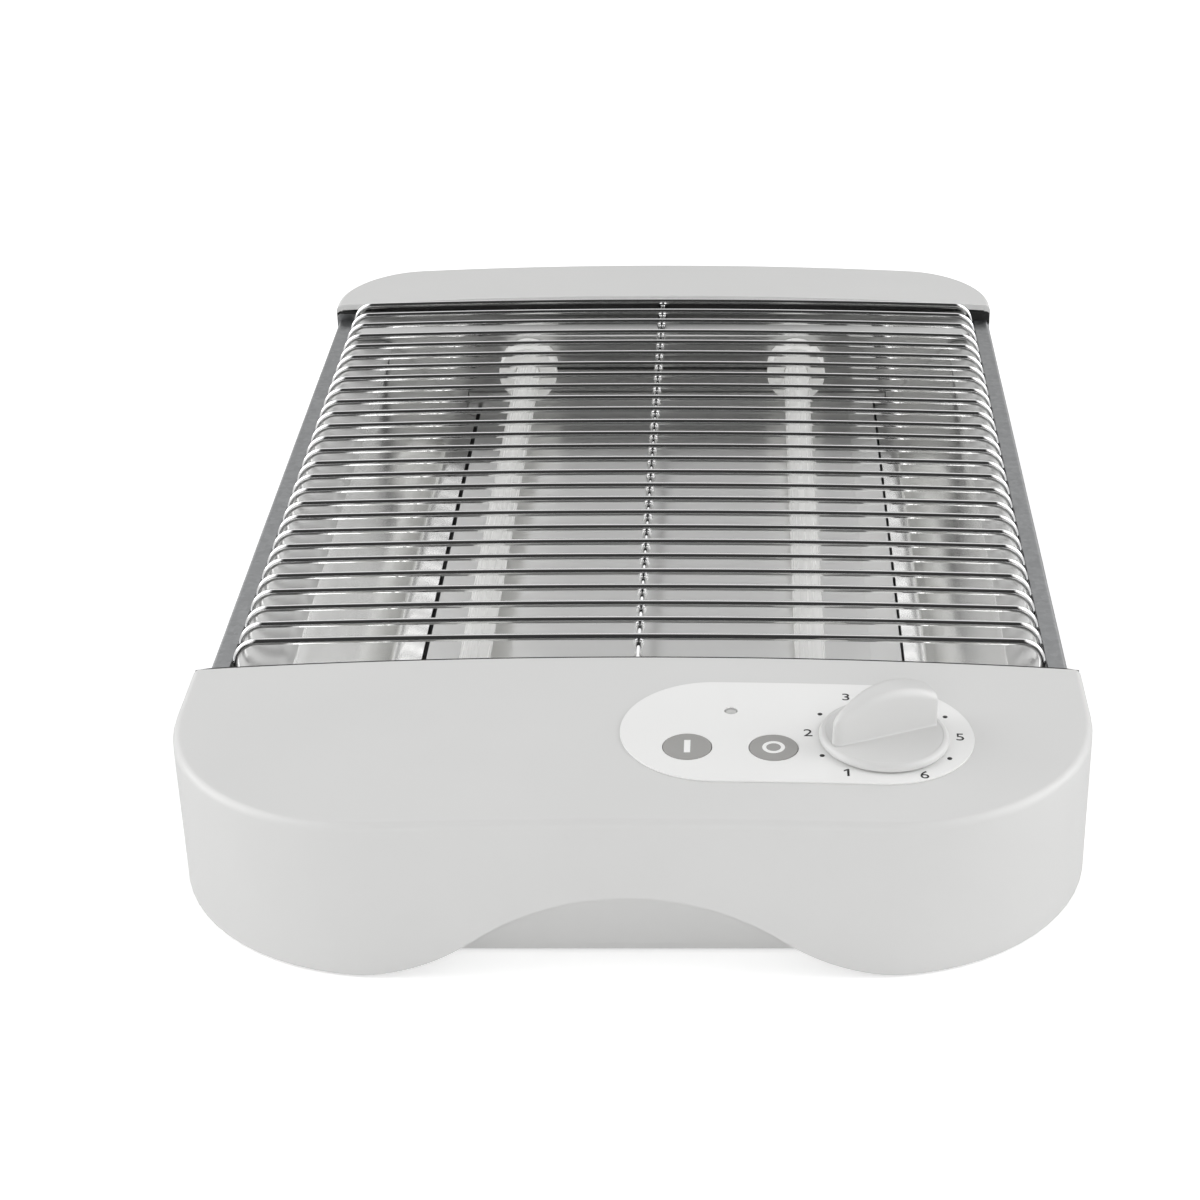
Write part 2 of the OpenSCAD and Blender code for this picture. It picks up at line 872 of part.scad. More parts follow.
// Push switch under a button
module push_switch(x) {
    half = switch_size / 2;
    color(black_plastic) {
        block([x - half, button_y - half, board_top],
            [x + half, button_y + half, board_top + switch_height]);
        translate([x, button_y, board_top + switch_height])
            cylinder(r = stem_radius, h = plunger_height);
    }
}

module start_switch() {
    push_switch(start_x);
}

module stop_switch() {
    push_switch(stop_x);
}

// Board for the heater current
module power_board() {
    color(board_green)
        block([power_left, power_front_y, power_board_z],
            [power_right, power_back_y, power_board_z + board_sheet]);
}

// Relay that switches the heaters
module power_relay() {
    foot = power_board_z + board_sheet;
    color(black_plastic)
        translate([power_left + relay_place[0], power_front_y + relay_place[1], foot])
            cube(relay_size);
}

// Screw terminals for the mains leads
module terminal_block() {
    foot = power_board_z + board_sheet;
    color(black_plastic)
        difference() {
            translate([power_left + terminal_place[0], power_front_y + terminal_place[1], foot])
                cube(terminal_size);
            for (i = [-1 : 1])
                translate([power_left + terminal_place[0] + terminal_size[0] / 2,
                    power_front_y + terminal_place[1] + terminal_size[1] / 2 + terminal_pitch * i,
                    foot + terminal_size[2] / 2])
                    cylinder(r = 2, h = terminal_size[2]);
        }
}

// Thermal fuse, clipped to the front bulkhead
module thermal_fuse() {
    reach = 10;
    fuse_radius = 3;
    place_y = front_wall_y - fuse_radius - 1;
    color(zinc) {
        translate([-reach, place_y, fuse_z])
            rotate([0, 90, 0])
                cylinder(r = fuse_radius, h = 2 * reach);
        block([-2, place_y, fuse_z - 1], [2, front_wall_y, fuse_z + 1]);
    }
}

// Bushing for the cord in the rear cap's back wall
module cord_gland() {
    inner_y = back_y - cap_wall;
    color(black_plastic)
        difference() {
            union() {
                rod_y(gland_x, inner_y - gland_tail, back_y, gland_z, gland_neck);
                rod_y(gland_x, inner_y - 2, inner_y, gland_z, gland_flange);
            }
            rod_y(gland_x, inner_y - gland_tail - over, back_y + over, gland_z, gland_bore);
        }
}

// Four rubber feet
module rubber_feet() {
    color(rubber_black)
        both_sides() {
            translate([front_foot[0], front_foot[1], 0])
                cylinder(r = foot_pad_radius, h = cover_z);
            translate([rear_foot[0], rear_foot[1], 0])
                cylinder(r = foot_pad_radius, h = bottom_height);
        }
}

// Screws that hold the front cover and the rear cap
module base_screws() {
    color(zinc) {
        front_posts(head_radius, cover_z, cover_z + head_height);
        front_posts(screw_radius, cover_z + head_height, screw_top);
        rear_posts(head_radius, bottom_height - head_height, bottom_height);
        rear_posts(screw_radius, bottom_height, screw_top);
    }
}

// Side view of the grip: high near the dial axis, low at both ends
module grip_length() {
    intersection() {
        translate([grip_peak, knob_height - grip_sweep])
            circle(grip_sweep, $fn = 128);
        translate([-knob_diameter / 2, knob_gap])
            square([knob_diameter, knob_height]);
    }
}

// Plan of the grip: a flat front near the axis, a bulged back that tapers to the pointing end
module grip_plan() {
    intersection() {
        circle(grip_reach, $fn = 128);
        translate([-grip_reach, -grip_front])
            square([2 * grip_reach, grip_front + grip_back]);
        translate([grip_swell, grip_back - grip_bulge])
            circle(grip_bulge, $fn = 256);
    }
}

// Cross-section of the grip: upright sides and a rounded upper edge
module grip_section() {
    low = knob_height - grip_round;
    translate([-grip_front, knob_gap])
        square([grip_front + grip_back, low - knob_gap]);
    translate([grip_round - grip_front, knob_gap])
        square([grip_front + grip_back - 2 * grip_round, knob_height - knob_gap]);
    for (w = [grip_round - grip_front, grip_back - grip_round])
        translate([w, low])
            circle(grip_round);
}

// Timer knob: a round-edged disc with a half-moon grip across it
module timer_knob() {
    r = knob_diameter / 2;
    color(white_plastic)
        at_dial()
            rotate([0, 0, grip_angle])
                difference() {
                    union() {
                        rotate_extrude($fn = 128) {
                            translate([0, knob_gap])
                                square([r, knob_disc - knob_rim - knob_gap]);
                            translate([0, knob_gap])
                                square([r - knob_rim, knob_disc - knob_gap]);
                            translate([r - knob_rim, knob_disc - knob_rim])
                                circle(knob_rim);
                        }
                        intersection() {
                            along_y(-r, r)
                                grip_length();
                            rotate([0, 0, 90])
                                along_y(-r, r)
                                    grip_section();
                            linear_extrude(knob_height + over)
                                grip_plan();
                        }
                    }
                    translate([0, 0, knob_gap - over])
                        cylinder(r = shaft_radius + shaft_fit, h = shaft_shoulder - knob_gap + over);
                    cylinder(r = spigot_radius + shaft_fit, h = spigot_top + 0.3);
                }
}

// Shaft between the timer and its knob, with a thinner spigot inside the grip
module timer_shaft() {
    color(zinc)
        at_dial() {
            translate([0, 0, shaft_foot])
                cylinder(r = shaft_radius, h = shaft_shoulder - shaft_foot);
            cylinder(r = spigot_radius, h = spigot_top);
        }
}

// Push button with a collar under the cap and a stem over its switch
module push_button(x) {
    collar_r = button_diameter / 2 + button_collar;
    collar_top = crown(x + collar_r) - cap_wall - stem_gap;
    collar_low = collar_top - collar_height;
    stem_low = board_top + switch_height + plunger_height + button_travel + stem_gap;
    face = crown(x) + panel_sheet + button_proud;
    color(button_grey)
        translate([x, button_y, 0]) {
            translate([0, 0, collar_low])
                cylinder(r = button_diameter / 2, h = face - collar_low);
            translate([0, 0, collar_low])
                cylinder(r = collar_r, h = collar_height);
            translate([0, 0, stem_low])
                cylinder(r = stem_radius, h = collar_top - stem_low);
        }
}

module start_button() {
    push_button(start_x);
}

module stop_button() {
    push_button(stop_x);
}

// Crumb tray: the bright floor of the trough, folded up along its right edge, with a stop that fills
// the slot in the rear bulkhead
module crumb_tray() {
    color(bright_steel) {
        along_y(tray_front_y, pull_front_y)
            folded([[tray_left, tray_height], [tray_fold, tray_height], [tray_right, tray_rim_z]]);
        block([slot_left + pull_fit, rear_wall_y, tray_height - bright_sheet],
            [slot_right - pull_fit, rear_wall_y + sheet, slot_top - pull_fit]);
    }
}

// Pull on the back end of the tray, with a finger groove
module tray_pull() {
    color(white_plastic)
        difference() {
            block([slot_left + pull_fit, pull_front_y, slot_bottom + pull_fit],
                [slot_right - pull_fit, back_y - 0.2, slot_top - pull_fit]);
            translate([(slot_left + slot_right) / 2 - groove_half, back_y + 2, slot_bottom + 3])
                rotate([0, 90, 0])
                    cylinder(r = 5, h = 2 * groove_half);
        }
}

front_cap();
front_cover();
rear_cap();
bottom_plate();
side_panel_left();
side_panel_right();
reflector_left();
reflector_right();
front_bulkhead();
rear_bulkhead();
tray_rails();
grid_hoops();
grid_rod();
quartz_tube_left();
quartz_tube_right();
heater_coil_left();
heater_coil_right();
holders_front();
holders_rear();
heater_pins();
link_wire();
supply_leads();
control_panel();
pilot_lens();
pilot_led();
control_board();
timer_body();
start_switch();
stop_switch();
power_board();
power_relay();
terminal_block();
thermal_fuse();
cord_gland();
rubber_feet();
base_screws();
timer_knob();
timer_shaft();
start_button();
stop_button();
crumb_tray();
tray_pull();
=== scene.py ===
"""Looks of the horizontal toaster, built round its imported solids."""
import math

import bmesh
import bpy
from mathutils import Matrix, Vector, noise


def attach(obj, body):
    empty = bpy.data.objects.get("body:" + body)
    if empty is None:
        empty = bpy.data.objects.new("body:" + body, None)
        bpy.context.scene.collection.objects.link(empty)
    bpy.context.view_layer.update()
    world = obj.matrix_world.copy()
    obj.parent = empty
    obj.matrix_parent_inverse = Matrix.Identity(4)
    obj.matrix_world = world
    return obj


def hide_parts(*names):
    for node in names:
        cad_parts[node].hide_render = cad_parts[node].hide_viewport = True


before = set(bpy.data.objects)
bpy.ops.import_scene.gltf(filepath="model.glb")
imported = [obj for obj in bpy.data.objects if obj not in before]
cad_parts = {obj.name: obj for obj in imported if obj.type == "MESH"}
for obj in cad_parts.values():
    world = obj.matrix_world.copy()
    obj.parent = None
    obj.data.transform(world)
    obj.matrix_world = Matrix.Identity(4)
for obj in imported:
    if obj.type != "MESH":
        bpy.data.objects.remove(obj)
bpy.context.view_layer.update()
scene = bpy.context.scene
MM = 0.001

# Sizes that several pieces share, in millimetres, as in the solids
CAP_TOP = 47.5
CROWN = 1900.0
CAP_EDGE = -111.0
REAR_EDGE = 160.5
PANEL_SHEET = 0.45
PRINT_LIFT = 0.02
BUTTON_X = {"start": 14.8, "stop": 37.2}
BUTTON_Y = -158.4
LEDGE_Z = 36.4
SHEET_SPAN = (-131.0, REAR_EDGE - 0.3)
TROUGH_SPAN = (-106.3, 143.7)


def crown(x):
    """Height of the caps' crowned skin, in mm."""
    return CAP_TOP - CROWN + math.sqrt(CROWN * CROWN - x * x)


# Node helpers

def linear(code):
    """Linear colour of an sRGB hex code."""
    parts = [int(code[i:i + 2], 16) / 255 for i in (0, 2, 4)]
    return tuple(c / 12.92 if c <= 0.04045 else ((c + 0.055) / 1.055) ** 2.4 for c in parts) + (1.0,)


def feed(tree, node, inputs):
    """Fills a node's inputs, each with a value or by a link from a socket."""
    for key, value in inputs.items():
        if isinstance(value, bpy.types.NodeSocket):
            tree.links.new(value, node.inputs[key])
        else:
            node.inputs[key].default_value = value


def add(tree, kind, settings=None, inputs=None):
    """Adds a node with its settings, values and links."""
    node = tree.nodes.new(kind)
    for key, value in (settings or {}).items():
        setattr(node, key, value)
    feed(tree, node, inputs or {})
    return node


def new_finish(name):
    """A new material with its tree, its shader and its object coordinates."""
    material = bpy.data.materials.new(name)
    material.use_nodes = True
    tree = material.node_tree
    place = add(tree, "ShaderNodeTexCoord").outputs["Object"]
    return material, tree, tree.nodes["Principled BSDF"], place


def per_mm(size):
    """Texture scale that gives features of a size in mm."""
    return 1.0 / (size * MM)


def mottle(tree, place, size, detail):
    """Noise with features of a size in mm."""
    return add(tree, "ShaderNodeTexNoise", None,
               {"Vector": place, "Scale": per_mm(size), "Detail": detail}).outputs["Fac"]


def drawn_out(tree, place, share):
    """Coordinates that stretch a texture along Y."""
    return add(tree, "ShaderNodeMapping", None,
               {"Vector": place, "Scale": (1.0, share, 1.0)}).outputs["Vector"]


def blend(tree, factor, first, second):
    """A colour between two, by a factor."""
    return add(tree, "ShaderNodeMix", {"data_type": "RGBA"}, {0: factor, 6: first, 7: second}).outputs[2]


def ranged(tree, value, levels, span=(0.0, 1.0), curve="LINEAR"):
    """A value mapped from a span to two levels."""
    return add(tree, "ShaderNodeMapRange", {"interpolation_type": curve},
               {"Value": value, "From Min": span[0], "From Max": span[1],
                "To Min": levels[0], "To Max": levels[1]}).outputs["Result"]


def relief(tree, height, strength, depth):
    """A normal bumped by a height, with its depth in mm."""
    return add(tree, "ShaderNodeBump", None,
               {"Height": height, "Strength": strength, "Distance": depth * MM}).outputs["Normal"]


def reckon(tree, operation, *values):
    """Result of a maths node."""
    return add(tree, "ShaderNodeMath", {"operation": operation}, dict(enumerate(values))).outputs["Value"]


# Materials

NOISE_SPAN = (0.3, 0.7)
CLOUD_SIZE = 35.0
PLASTIC_IOR = 1.52
QUARTZ_IOR = 1.46
EPOXY_IOR = 1.55
ROLLING_STRETCH = 0.012
ROLLING_WAY = {"X": 0.02, "Y": 1.0, "Z": 0.01}
DRAWING_STRETCH = 0.02
ZINC_GRAIN = 0.7
SPECK_RARITY = 0.94
SPECK_SIZE = 0.16
WEAVE_TURN = 0.785
BRAID_SIZE = 0.6
WAVE_CYCLE = 6.28


def moulded_plastic(name, light, dark, gloss, grain_size, depth):
    """Thermoplastic from a spark-eroded tool: even colour, satin gloss broken by a fine grain."""
    material, tree, shader, place = new_finish(name)
    cloud = mottle(tree, place, CLOUD_SIZE, 2.0)
    grain = mottle(tree, place, grain_size, 3.0)
    feed(tree, shader, {"Base Color": blend(tree, cloud, linear(dark), linear(light)),
                        "Roughness": ranged(tree, grain, gloss, NOISE_SPAN),
                        "Normal": relief(tree, grain, 0.35, depth), "IOR": PLASTIC_IOR})
    return material


def rolled_metal(name, light, dark, gloss, line_size, wave_size, wave_depth, stretch):
    """Bright rolled metal: faint lines along the piece, and reflections drawn out the same way."""
    material, tree, shader, place = new_finish(name)
    lines = mottle(tree, drawn_out(tree, place, ROLLING_STRETCH), line_size, 2.0)
    wave = mottle(tree, place, wave_size, 1.0)
    lengthwise = add(tree, "ShaderNodeCombineXYZ", None, ROLLING_WAY)
    feed(tree, shader, {"Base Color": blend(tree, lines, linear(dark), linear(light)),
                        "Roughness": ranged(tree, lines, gloss, NOISE_SPAN),
                        "Normal": relief(tree, wave, 1.0, wave_depth),
                        "Tangent": lengthwise.outputs["Vector"], "Anisotropic": stretch, "Metallic": 1.0})
    return material


def zinc_coated(name, light, dark, gloss, spangle_size):
    """Zinc on steel: dull crystals that each catch the light a little differently, and a few bright specks."""
    material, tree, shader, place = new_finish(name)
    spangle = add(tree, "ShaderNodeTexVoronoi", None, {"Vector": place, "Scale": per_mm(spangle_size)})
    grain = mottle(tree, place, ZINC_GRAIN, 3.0)
    crystal = add(tree, "ShaderNodeSeparateColor", None, {"Color": spangle.outputs["Color"]})
    shade = reckon(tree, "MULTIPLY", crystal.outputs["Red"], grain)
    tone = blend(tree, shade, linear(dark), linear(light))
    chosen = reckon(tree, "GREATER_THAN", crystal.outputs["Blue"], SPECK_RARITY)
    middle = reckon(tree, "LESS_THAN", spangle.outputs["Distance"], SPECK_SIZE)
    speck = reckon(tree, "MULTIPLY", chosen, middle)
    feed(tree, shader, {"Base Color": blend(tree, speck, tone, linear("D8D9DA")),
                        "Roughness": ranged(tree, crystal.outputs["Green"], gloss),
                        "Normal": relief(tree, grain, 0.4, 0.02), "Metallic": 1.0})
    return material


def milky_quartz(name):
    """Drawn opaque quartz glass: white and silky, with faint drawing lines and a soft glow through its wall."""
    material, tree, shader, place = new_finish(name)
    lines = mottle(tree, drawn_out(tree, place, DRAWING_STRETCH), 1.5, 1.0)
    feed(tree, shader, {"Base Color": blend(tree, lines, linear("F4F4F2"), linear("FAFAF8")),
                        "Roughness": ranged(tree, lines, (0.24, 0.3)),
                        "IOR": QUARTZ_IOR, "Transmission Weight": 0.1})
    return material


def clear_epoxy(name):
    """Cast epoxy with diffuser: pale grey, half clear and glossy."""
    material, tree, shader, place = new_finish(name)
    haze = mottle(tree, place, 0.6, 2.0)
    feed(tree, shader, {"Base Color": blend(tree, haze, linear("CFCFCD"), linear("E0E0DE")),
                        "Roughness": ranged(tree, haze, (0.1, 0.25)),
                        "IOR": EPOXY_IOR, "Transmission Weight": 0.2})
    return material


def solder_mask(name):
    """Lacquered glass-fibre board: green, glossy, with the weave faintly showing through."""
    material, tree, shader, place = new_finish(name)
    turned = add(tree, "ShaderNodeMapping", None, {"Vector": place, "Rotation": (0.0, 0.0, WEAVE_TURN)})
    weave = add(tree, "ShaderNodeTexChecker", None,
                {"Vector": turned.outputs["Vector"], "Scale": per_mm(0.9),
                 "Color1": linear("1F5B34"), "Color2": linear("246A3D")})
    haze = mottle(tree, place, 4.0, 2.0)
    feed(tree, shader, {"Base Color": weave.outputs["Color"], "Roughness": ranged(tree, haze, (0.2, 0.4))})
    return material


def braided_sleeve(name):
    """Varnished glass braid on a lead: black, dull, with a crossing weave about 0.6 mm wide."""
    material, tree, shader, place = new_finish(name)
    weave = add(tree, "ShaderNodeTexWave", {"wave_type": "BANDS", "bands_direction": "DIAGONAL"},
                {"Vector": place, "Scale": per_mm(BRAID_SIZE) / WAVE_CYCLE, "Distortion": 1.0}).outputs["Fac"]
    feed(tree, shader, {"Base Color": blend(tree, weave, linear("0C0C0C"), linear("1D1D1C")),
                        "Normal": relief(tree, weave, 0.6, 0.1), "Roughness": 0.6})
    return material


# ABS in off-white, the caps and the knob: pale and satin
off_white_abs = moulded_plastic("off_white_abs", "DBDBDA", "D7D7D6", (0.3, 0.42), 0.5, 0.012)
# Printed polycarbonate film: whiter and smoother than the caps
white_film = moulded_plastic("white_polycarbonate_film", "F3F3F2", "EFEFEE", (0.3, 0.38), 0.25, 0.006)
# ABS in warm grey, the two buttons: matt and even
grey_abs = moulded_plastic("grey_abs", "A3A2A0", "9D9C9A", (0.45, 0.6), 0.35, 0.012)
# Screen ink: dense and matt, with the mesh's faint texture
black_ink = moulded_plastic("black_screen_ink", "161616", "0E0E0E", (0.5, 0.65), 0.2, 0.004)
white_ink = moulded_plastic("white_screen_ink", "FBFBFA", "F5F5F4", (0.45, 0.6), 0.2, 0.004)
# Polyester housings of relay, timer and switches: black with a fine moulded grain
black_polyester = moulded_plastic("black_polyester", "1C1C1D", "141415", (0.4, 0.6), 0.3, 0.02)
# Rubber of the feet and the cord gland: dark and dull. The black strips of painted shadow under the caps' edges
# use it too
black_rubber = moulded_plastic("black_rubber", "232322", "1A1A1A", (0.65, 0.85), 0.4, 0.03)
# Unglazed steatite of the heater holders: chalky white with a dry fine grain
steatite = moulded_plastic("unglazed_steatite", "FDFDFB", "F7F7F4", (0.55, 0.75), 0.3, 0.02)
# Bright-annealed steel of the reflectors: nearly a mirror
mirror_sheet = rolled_metal("bright_annealed_steel", "EFEFEE", "ECECEB", (0.11, 0.14), 2.0, 60.0, 0.02, 0.0)
# Rolled steel of the crumb tray: crisp across, drawn out along its length
tray_sheet = rolled_metal("bright_rolled_steel", "E8E8E7", "E6E6E5", (0.275, 0.28), 6.0, 60.0, 0.0, 0.85)
# The same steel on the bulkheads, seen across its rolling: even and soft
wall_sheet = rolled_metal("cross_rolled_steel", "CDCDCC", "C6C6C5", (0.28, 0.32), 2.0, 60.0, 0.01, 0.0)
# Reflector sheet where the hoops stand: a darker, rougher copy of the mirror steel; its darker colour is
# painted shade that keeps the ledge and fold an even grey, without a white highlight
shaded_ledge_sheet = rolled_metal("dulled_steel", "C4C4C3", "BEBEBD", (0.3, 0.34), 2.0, 60.0, 0.0, 0.0)
# Bright drawn wire with a chrome flash: hard highlights and a dark core
chrome_wire = rolled_metal("chromed_wire", "EDEDED", "E4E4E4", (0.05, 0.09), 0.6, 8.0, 0.004, 0.0)
# Zinc-plated turned parts: grey and slightly cloudy
zinc_plate = zinc_coated("zinc_plated_steel", "C4C6C8", "9EA0A2", (0.25, 0.4), 1.2)
# Galvanised sheet of side panels, bottom and rails: mid grey and spangled
galvanised = zinc_coated("galvanised_steel", "9C9D9E", "8A8B8C", (0.36, 0.46), 1.6)
# Resistance wire after a few heats: grey-brown oxide, matt
oxidised_wire = zinc_coated("oxidised_resistance_wire", "6A6058", "4A443F", (0.5, 0.7), 0.8)
quartz = milky_quartz("milky_quartz")
lens_epoxy = clear_epoxy("diffusing_epoxy")
board_green = solder_mask("lacquered_circuit_board")
black_braid = braided_sleeve("black_glass_braid")


# Mesh helpers

JOIN_DISTANCE = 1e-7
WELD_DISTANCE = 2e-6
FLAT_ANGLE = 0.08
EDGE_ANGLE = 32.0
FOLD_STEPS = 6
FOLD_SHARE = 0.45


def make_object(name, mesh, *materials):
    """A linked object at the origin with its materials."""
    obj = bpy.data.objects.new(name, mesh)
    mesh.materials.clear()
    for material in materials:
        mesh.materials.append(material)
    scene.collection.objects.link(obj)
    return obj


def make_mesh(name, points, faces, place=None):
    """A smooth mesh from points in mm, with outward normals."""
    mesh = bpy.data.meshes.new(name)
    mesh.from_pydata([Vector(p) * MM for p in points], [], faces)
    work = bmesh.new()
    work.from_mesh(mesh)
    bmesh.ops.remove_doubles(work, verts=work.verts, dist=JOIN_DISTANCE)
    bmesh.ops.recalc_face_normals(work, faces=work.faces)
    work.to_mesh(mesh)
    work.free()
    if place is not None:
        mesh.transform(place)
    mesh.shade_smooth()
    return mesh


def shaped(name, shape, *materials, sharp=40.0, place=None):
    """An object from points and faces; edges beyond an angle in degrees stay crisp."""
    mesh = make_mesh(name, *shape, place)
    mesh.set_sharp_from_angle(angle=math.radians(sharp))
    return make_object(name, mesh, *materials)


def settle(obj):
    """Turns the object's modifiers into plain mesh."""
    depsgraph = bpy.context.evaluated_depsgraph_get()
    mesh = bpy.data.meshes.new_from_object(obj.evaluated_get(depsgraph))
    mesh.name = obj.name
    obj.modifiers.clear()
    old = obj.data
    obj.data = mesh
    bpy.data.meshes.remove(old)
    return obj


def soften(obj, edge, segments):
    """Rounds the sharp edges by a width in mm and evens the shading."""
    bevel = obj.modifiers.new("edge", "BEVEL")
    bevel.limit_method = "ANGLE"
    bevel.angle_limit = math.radians(EDGE_ANGLE)
    bevel.width = edge * MM
    bevel.segments = segments
    even = obj.modifiers.new("even", "WEIGHTED_NORMAL")
    even.weight = 90
    even.keep_sharp = True
    return settle(obj)


def finish_piece(obj, body, slot, *nodes):
    """Hands a piece to the frame: its body, and the solids that it stands for, which it hides. The slot is not
    used.
    """
    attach(obj, body)
    if nodes:
        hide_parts(*nodes)
    return obj


def welded_copy(node, name, material):
    """A solid's mesh with its triangles welded into flat faces."""
    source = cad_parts[node].data
    mesh = bpy.data.meshes.new(name)
    mesh.from_pydata([v.co for v in source.vertices], [], [p.vertices[:] for p in source.polygons])
    work = bmesh.new()
    work.from_mesh(mesh)
    bmesh.ops.remove_doubles(work, verts=work.verts, dist=WELD_DISTANCE)
    bmesh.ops.dissolve_limit(work, angle_limit=math.radians(FLAT_ANGLE), verts=work.verts, edges=work.edges)
    bmesh.ops.recalc_face_normals(work, faces=work.faces)
    work.to_mesh(mesh)
    work.free()
    mesh.shade_smooth()
    return make_object(name, mesh, material)


def on_panel(x, y, lift=0.0):
    """Place on the panel's crowned face and square to it, lifted in mm."""
    return (Matrix.Translation(Vector((x, y, crown(x) + PANEL_SHEET + lift)) * MM)
            @ Matrix.Rotation(math.asin(x / CROWN), 4, "Y"))


def circle(radius, steps=64):
    """Points of a circle about the origin."""
    return [(radius * math.cos(2 * math.pi * i / steps), radius * math.sin(2 * math.pi * i / steps))
            for i in range(steps)]


def quarter(steps):
    """Angles of a quarter turn, in even steps."""
    return [math.radians(90 * i / steps) for i in range(steps + 1)]


def mirrored(points):
    """The other side's profile."""
    return [(-x, z) for x, z in points]


def moved(shape, x, y):
    """A shape carried sideways, in mm."""
    points, faces = shape
    return [(x + a, y + b, z) for a, b, z in points], faces


def joined(*shapes):
    """One shape from several."""
    points, faces = [], []
    for some_points, some_faces in shapes:
        base = len(points)
        points += some_points
        faces += [tuple(base + i for i in face) for face in some_faces]
    return points, faces


def ring_faces(rows, count):
    """Quads between rows of points, each row a loop."""
    faces = []
    for k in range(rows - 1):
        for i in range(count):
            j = (i + 1) % count
            faces.append((k * count + i, k * count + j, (k + 1) * count + j, (k + 1) * count + i))
    return faces


def loft(rows):
    """A shape through rows of points, each row a loop, with flat ends."""
    count = len(rows[0])
    last = (len(rows) - 1) * count
    ends = [tuple(range(count)), tuple(last + i for i in range(count))]
    return [p for row in rows for p in row], ring_faces(len(rows), count) + ends


def lathe(profile, steps):
    """A turned shape; its profile starts and ends on the axis."""
    return [(x, y, z) for r, z in profile for x, y in circle(r, steps)], ring_faces(len(profile), steps)


def plate(low, high):
    """A plate between two corners."""
    loop = [(low[0], low[1]), (high[0], low[1]), (high[0], high[1]), (low[0], high[1])]
    return loft([[(x, y, z) for x, y in loop] for z in (low[2], high[2])])


def bent_line(points, bend, step):
    """A folded profile with rounded bends, as evenly spaced points."""
    line = [Vector(points[0])]
    for a, b, c in zip(points, points[1:], points[2:]):
        a, b, c = Vector(a), Vector(b), Vector(c)
        u, v = (a - b).normalized(), (c - b).normalized()
        half = u.angle(v) / 2
        reach = min(bend / math.tan(half), FOLD_SHARE * (a - b).length, FOLD_SHARE * (c - b).length)
        radius = reach * math.tan(half)
        centre = b + (u + v).normalized() * (radius / math.sin(half))
        start, end = b + u * reach, b + v * reach
        for i in range(FOLD_STEPS + 1):
            arm = (start - centre).lerp(end - centre, i / FOLD_STEPS).normalized() * radius
            line.append(centre + arm)
    line.append(Vector(points[-1]))
    fine = [line[0]]
    for a, b in zip(line, line[1:]):
        parts = max(1, math.ceil((b - a).length / step))
        fine += [a.lerp(b, (i + 1) / parts) for i in range(parts)]
    return fine


def folded_sheet(points, span, thick, bend, wave=0.0, wave_size=60.0, step=3.0, slice_step=3.5):
    """A folded sheet along Y: profile of its upper side in XZ, slightly wavy."""
    line = bent_line(points, bend, step)
    normals = []
    for i in range(len(line)):
        run = line[min(i + 1, len(line) - 1)] - line[max(i - 1, 0)]
        run.normalize()
        side = Vector((-run.y, run.x))
        normals.append(side if side.y > 0 else -side)
    y0, y1 = span
    slices = max(2, math.ceil((y1 - y0) / slice_step) + 1)
    rows = []
    for k in range(slices):
        y = y0 + (y1 - y0) * k / (slices - 1)
        top, low = [], []
        for p, n in zip(line, normals):
            swell = wave * noise.noise(Vector((p.x / wave_size, y / wave_size, p.y / wave_size)))
            q = p + n * swell
            top.append((q.x, y, q.y))
            q = q - n * thick
            low.append((q.x, y, q.y))
        rows.append(top + low[::-1])
    return loft(rows)


def flat_print(outer, inner=None, height=0.03):
    """A thin printed shape from one loop of points, or between two loops of equal length."""
    if inner is None:
        return loft([[(x, y, z) for x, y in outer] for z in (0, height)])
    n = len(outer)
    loops = ((outer, 0), (outer, height), (inner, height), (inner, 0))
    points = [(x, y, z) for loop, z in loops for x, y in loop]
    return points, ring_faces(4, n) + [(3 * n + i, 3 * n + (i + 1) % n, (i + 1) % n, i) for i in range(n)]


# Geometry Nodes: what repeats

STRAY_SEED = 7
HOOP_SIDES = 14
COIL_SIDES = 6
COIL_STEPS = 14


def new_grower(name, wants, gives):
    """A geometry node tree, the keys that set its inputs, and the inputs."""
    tree = bpy.data.node_groups.new(name, "GeometryNodeTree")
    ask = {}
    for want, kind in wants.items():
        socket = tree.interface.new_socket(want, in_out="INPUT", socket_type="NodeSocket" + kind)
        ask[want] = socket.identifier
    tree.interface.new_socket(gives, in_out="OUTPUT", socket_type="NodeSocketGeometry")
    return tree, ask, add(tree, "NodeGroupInput").outputs


def hand_out(tree, gives, geometry, finish):
    """Makes the geometry real, smooth and coated, and hands it out."""
    solid = add(tree, "GeometryNodeRealizeInstances", None, {"Geometry": geometry})
    smooth = add(tree, "GeometryNodeSetShadeSmooth", None, {"Geometry": solid.outputs["Geometry"]})
    coat = add(tree, "GeometryNodeSetMaterial", None,
               {"Geometry": smooth.outputs["Geometry"], "Material": finish})
    add(tree, "NodeGroupOutput", None, {gives: coat.outputs["Geometry"]})


def swept_wire(tree, curve, radius, sides):
    """A round wire along a curve."""
    ring = add(tree, "GeometryNodeCurvePrimitiveCircle", None, {"Resolution": sides, "Radius": radius})
    return add(tree, "GeometryNodeCurveToMesh", None,
               {"Curve": curve, "Profile Curve": ring.outputs["Curve"], "Fill Caps": True}).outputs["Mesh"]


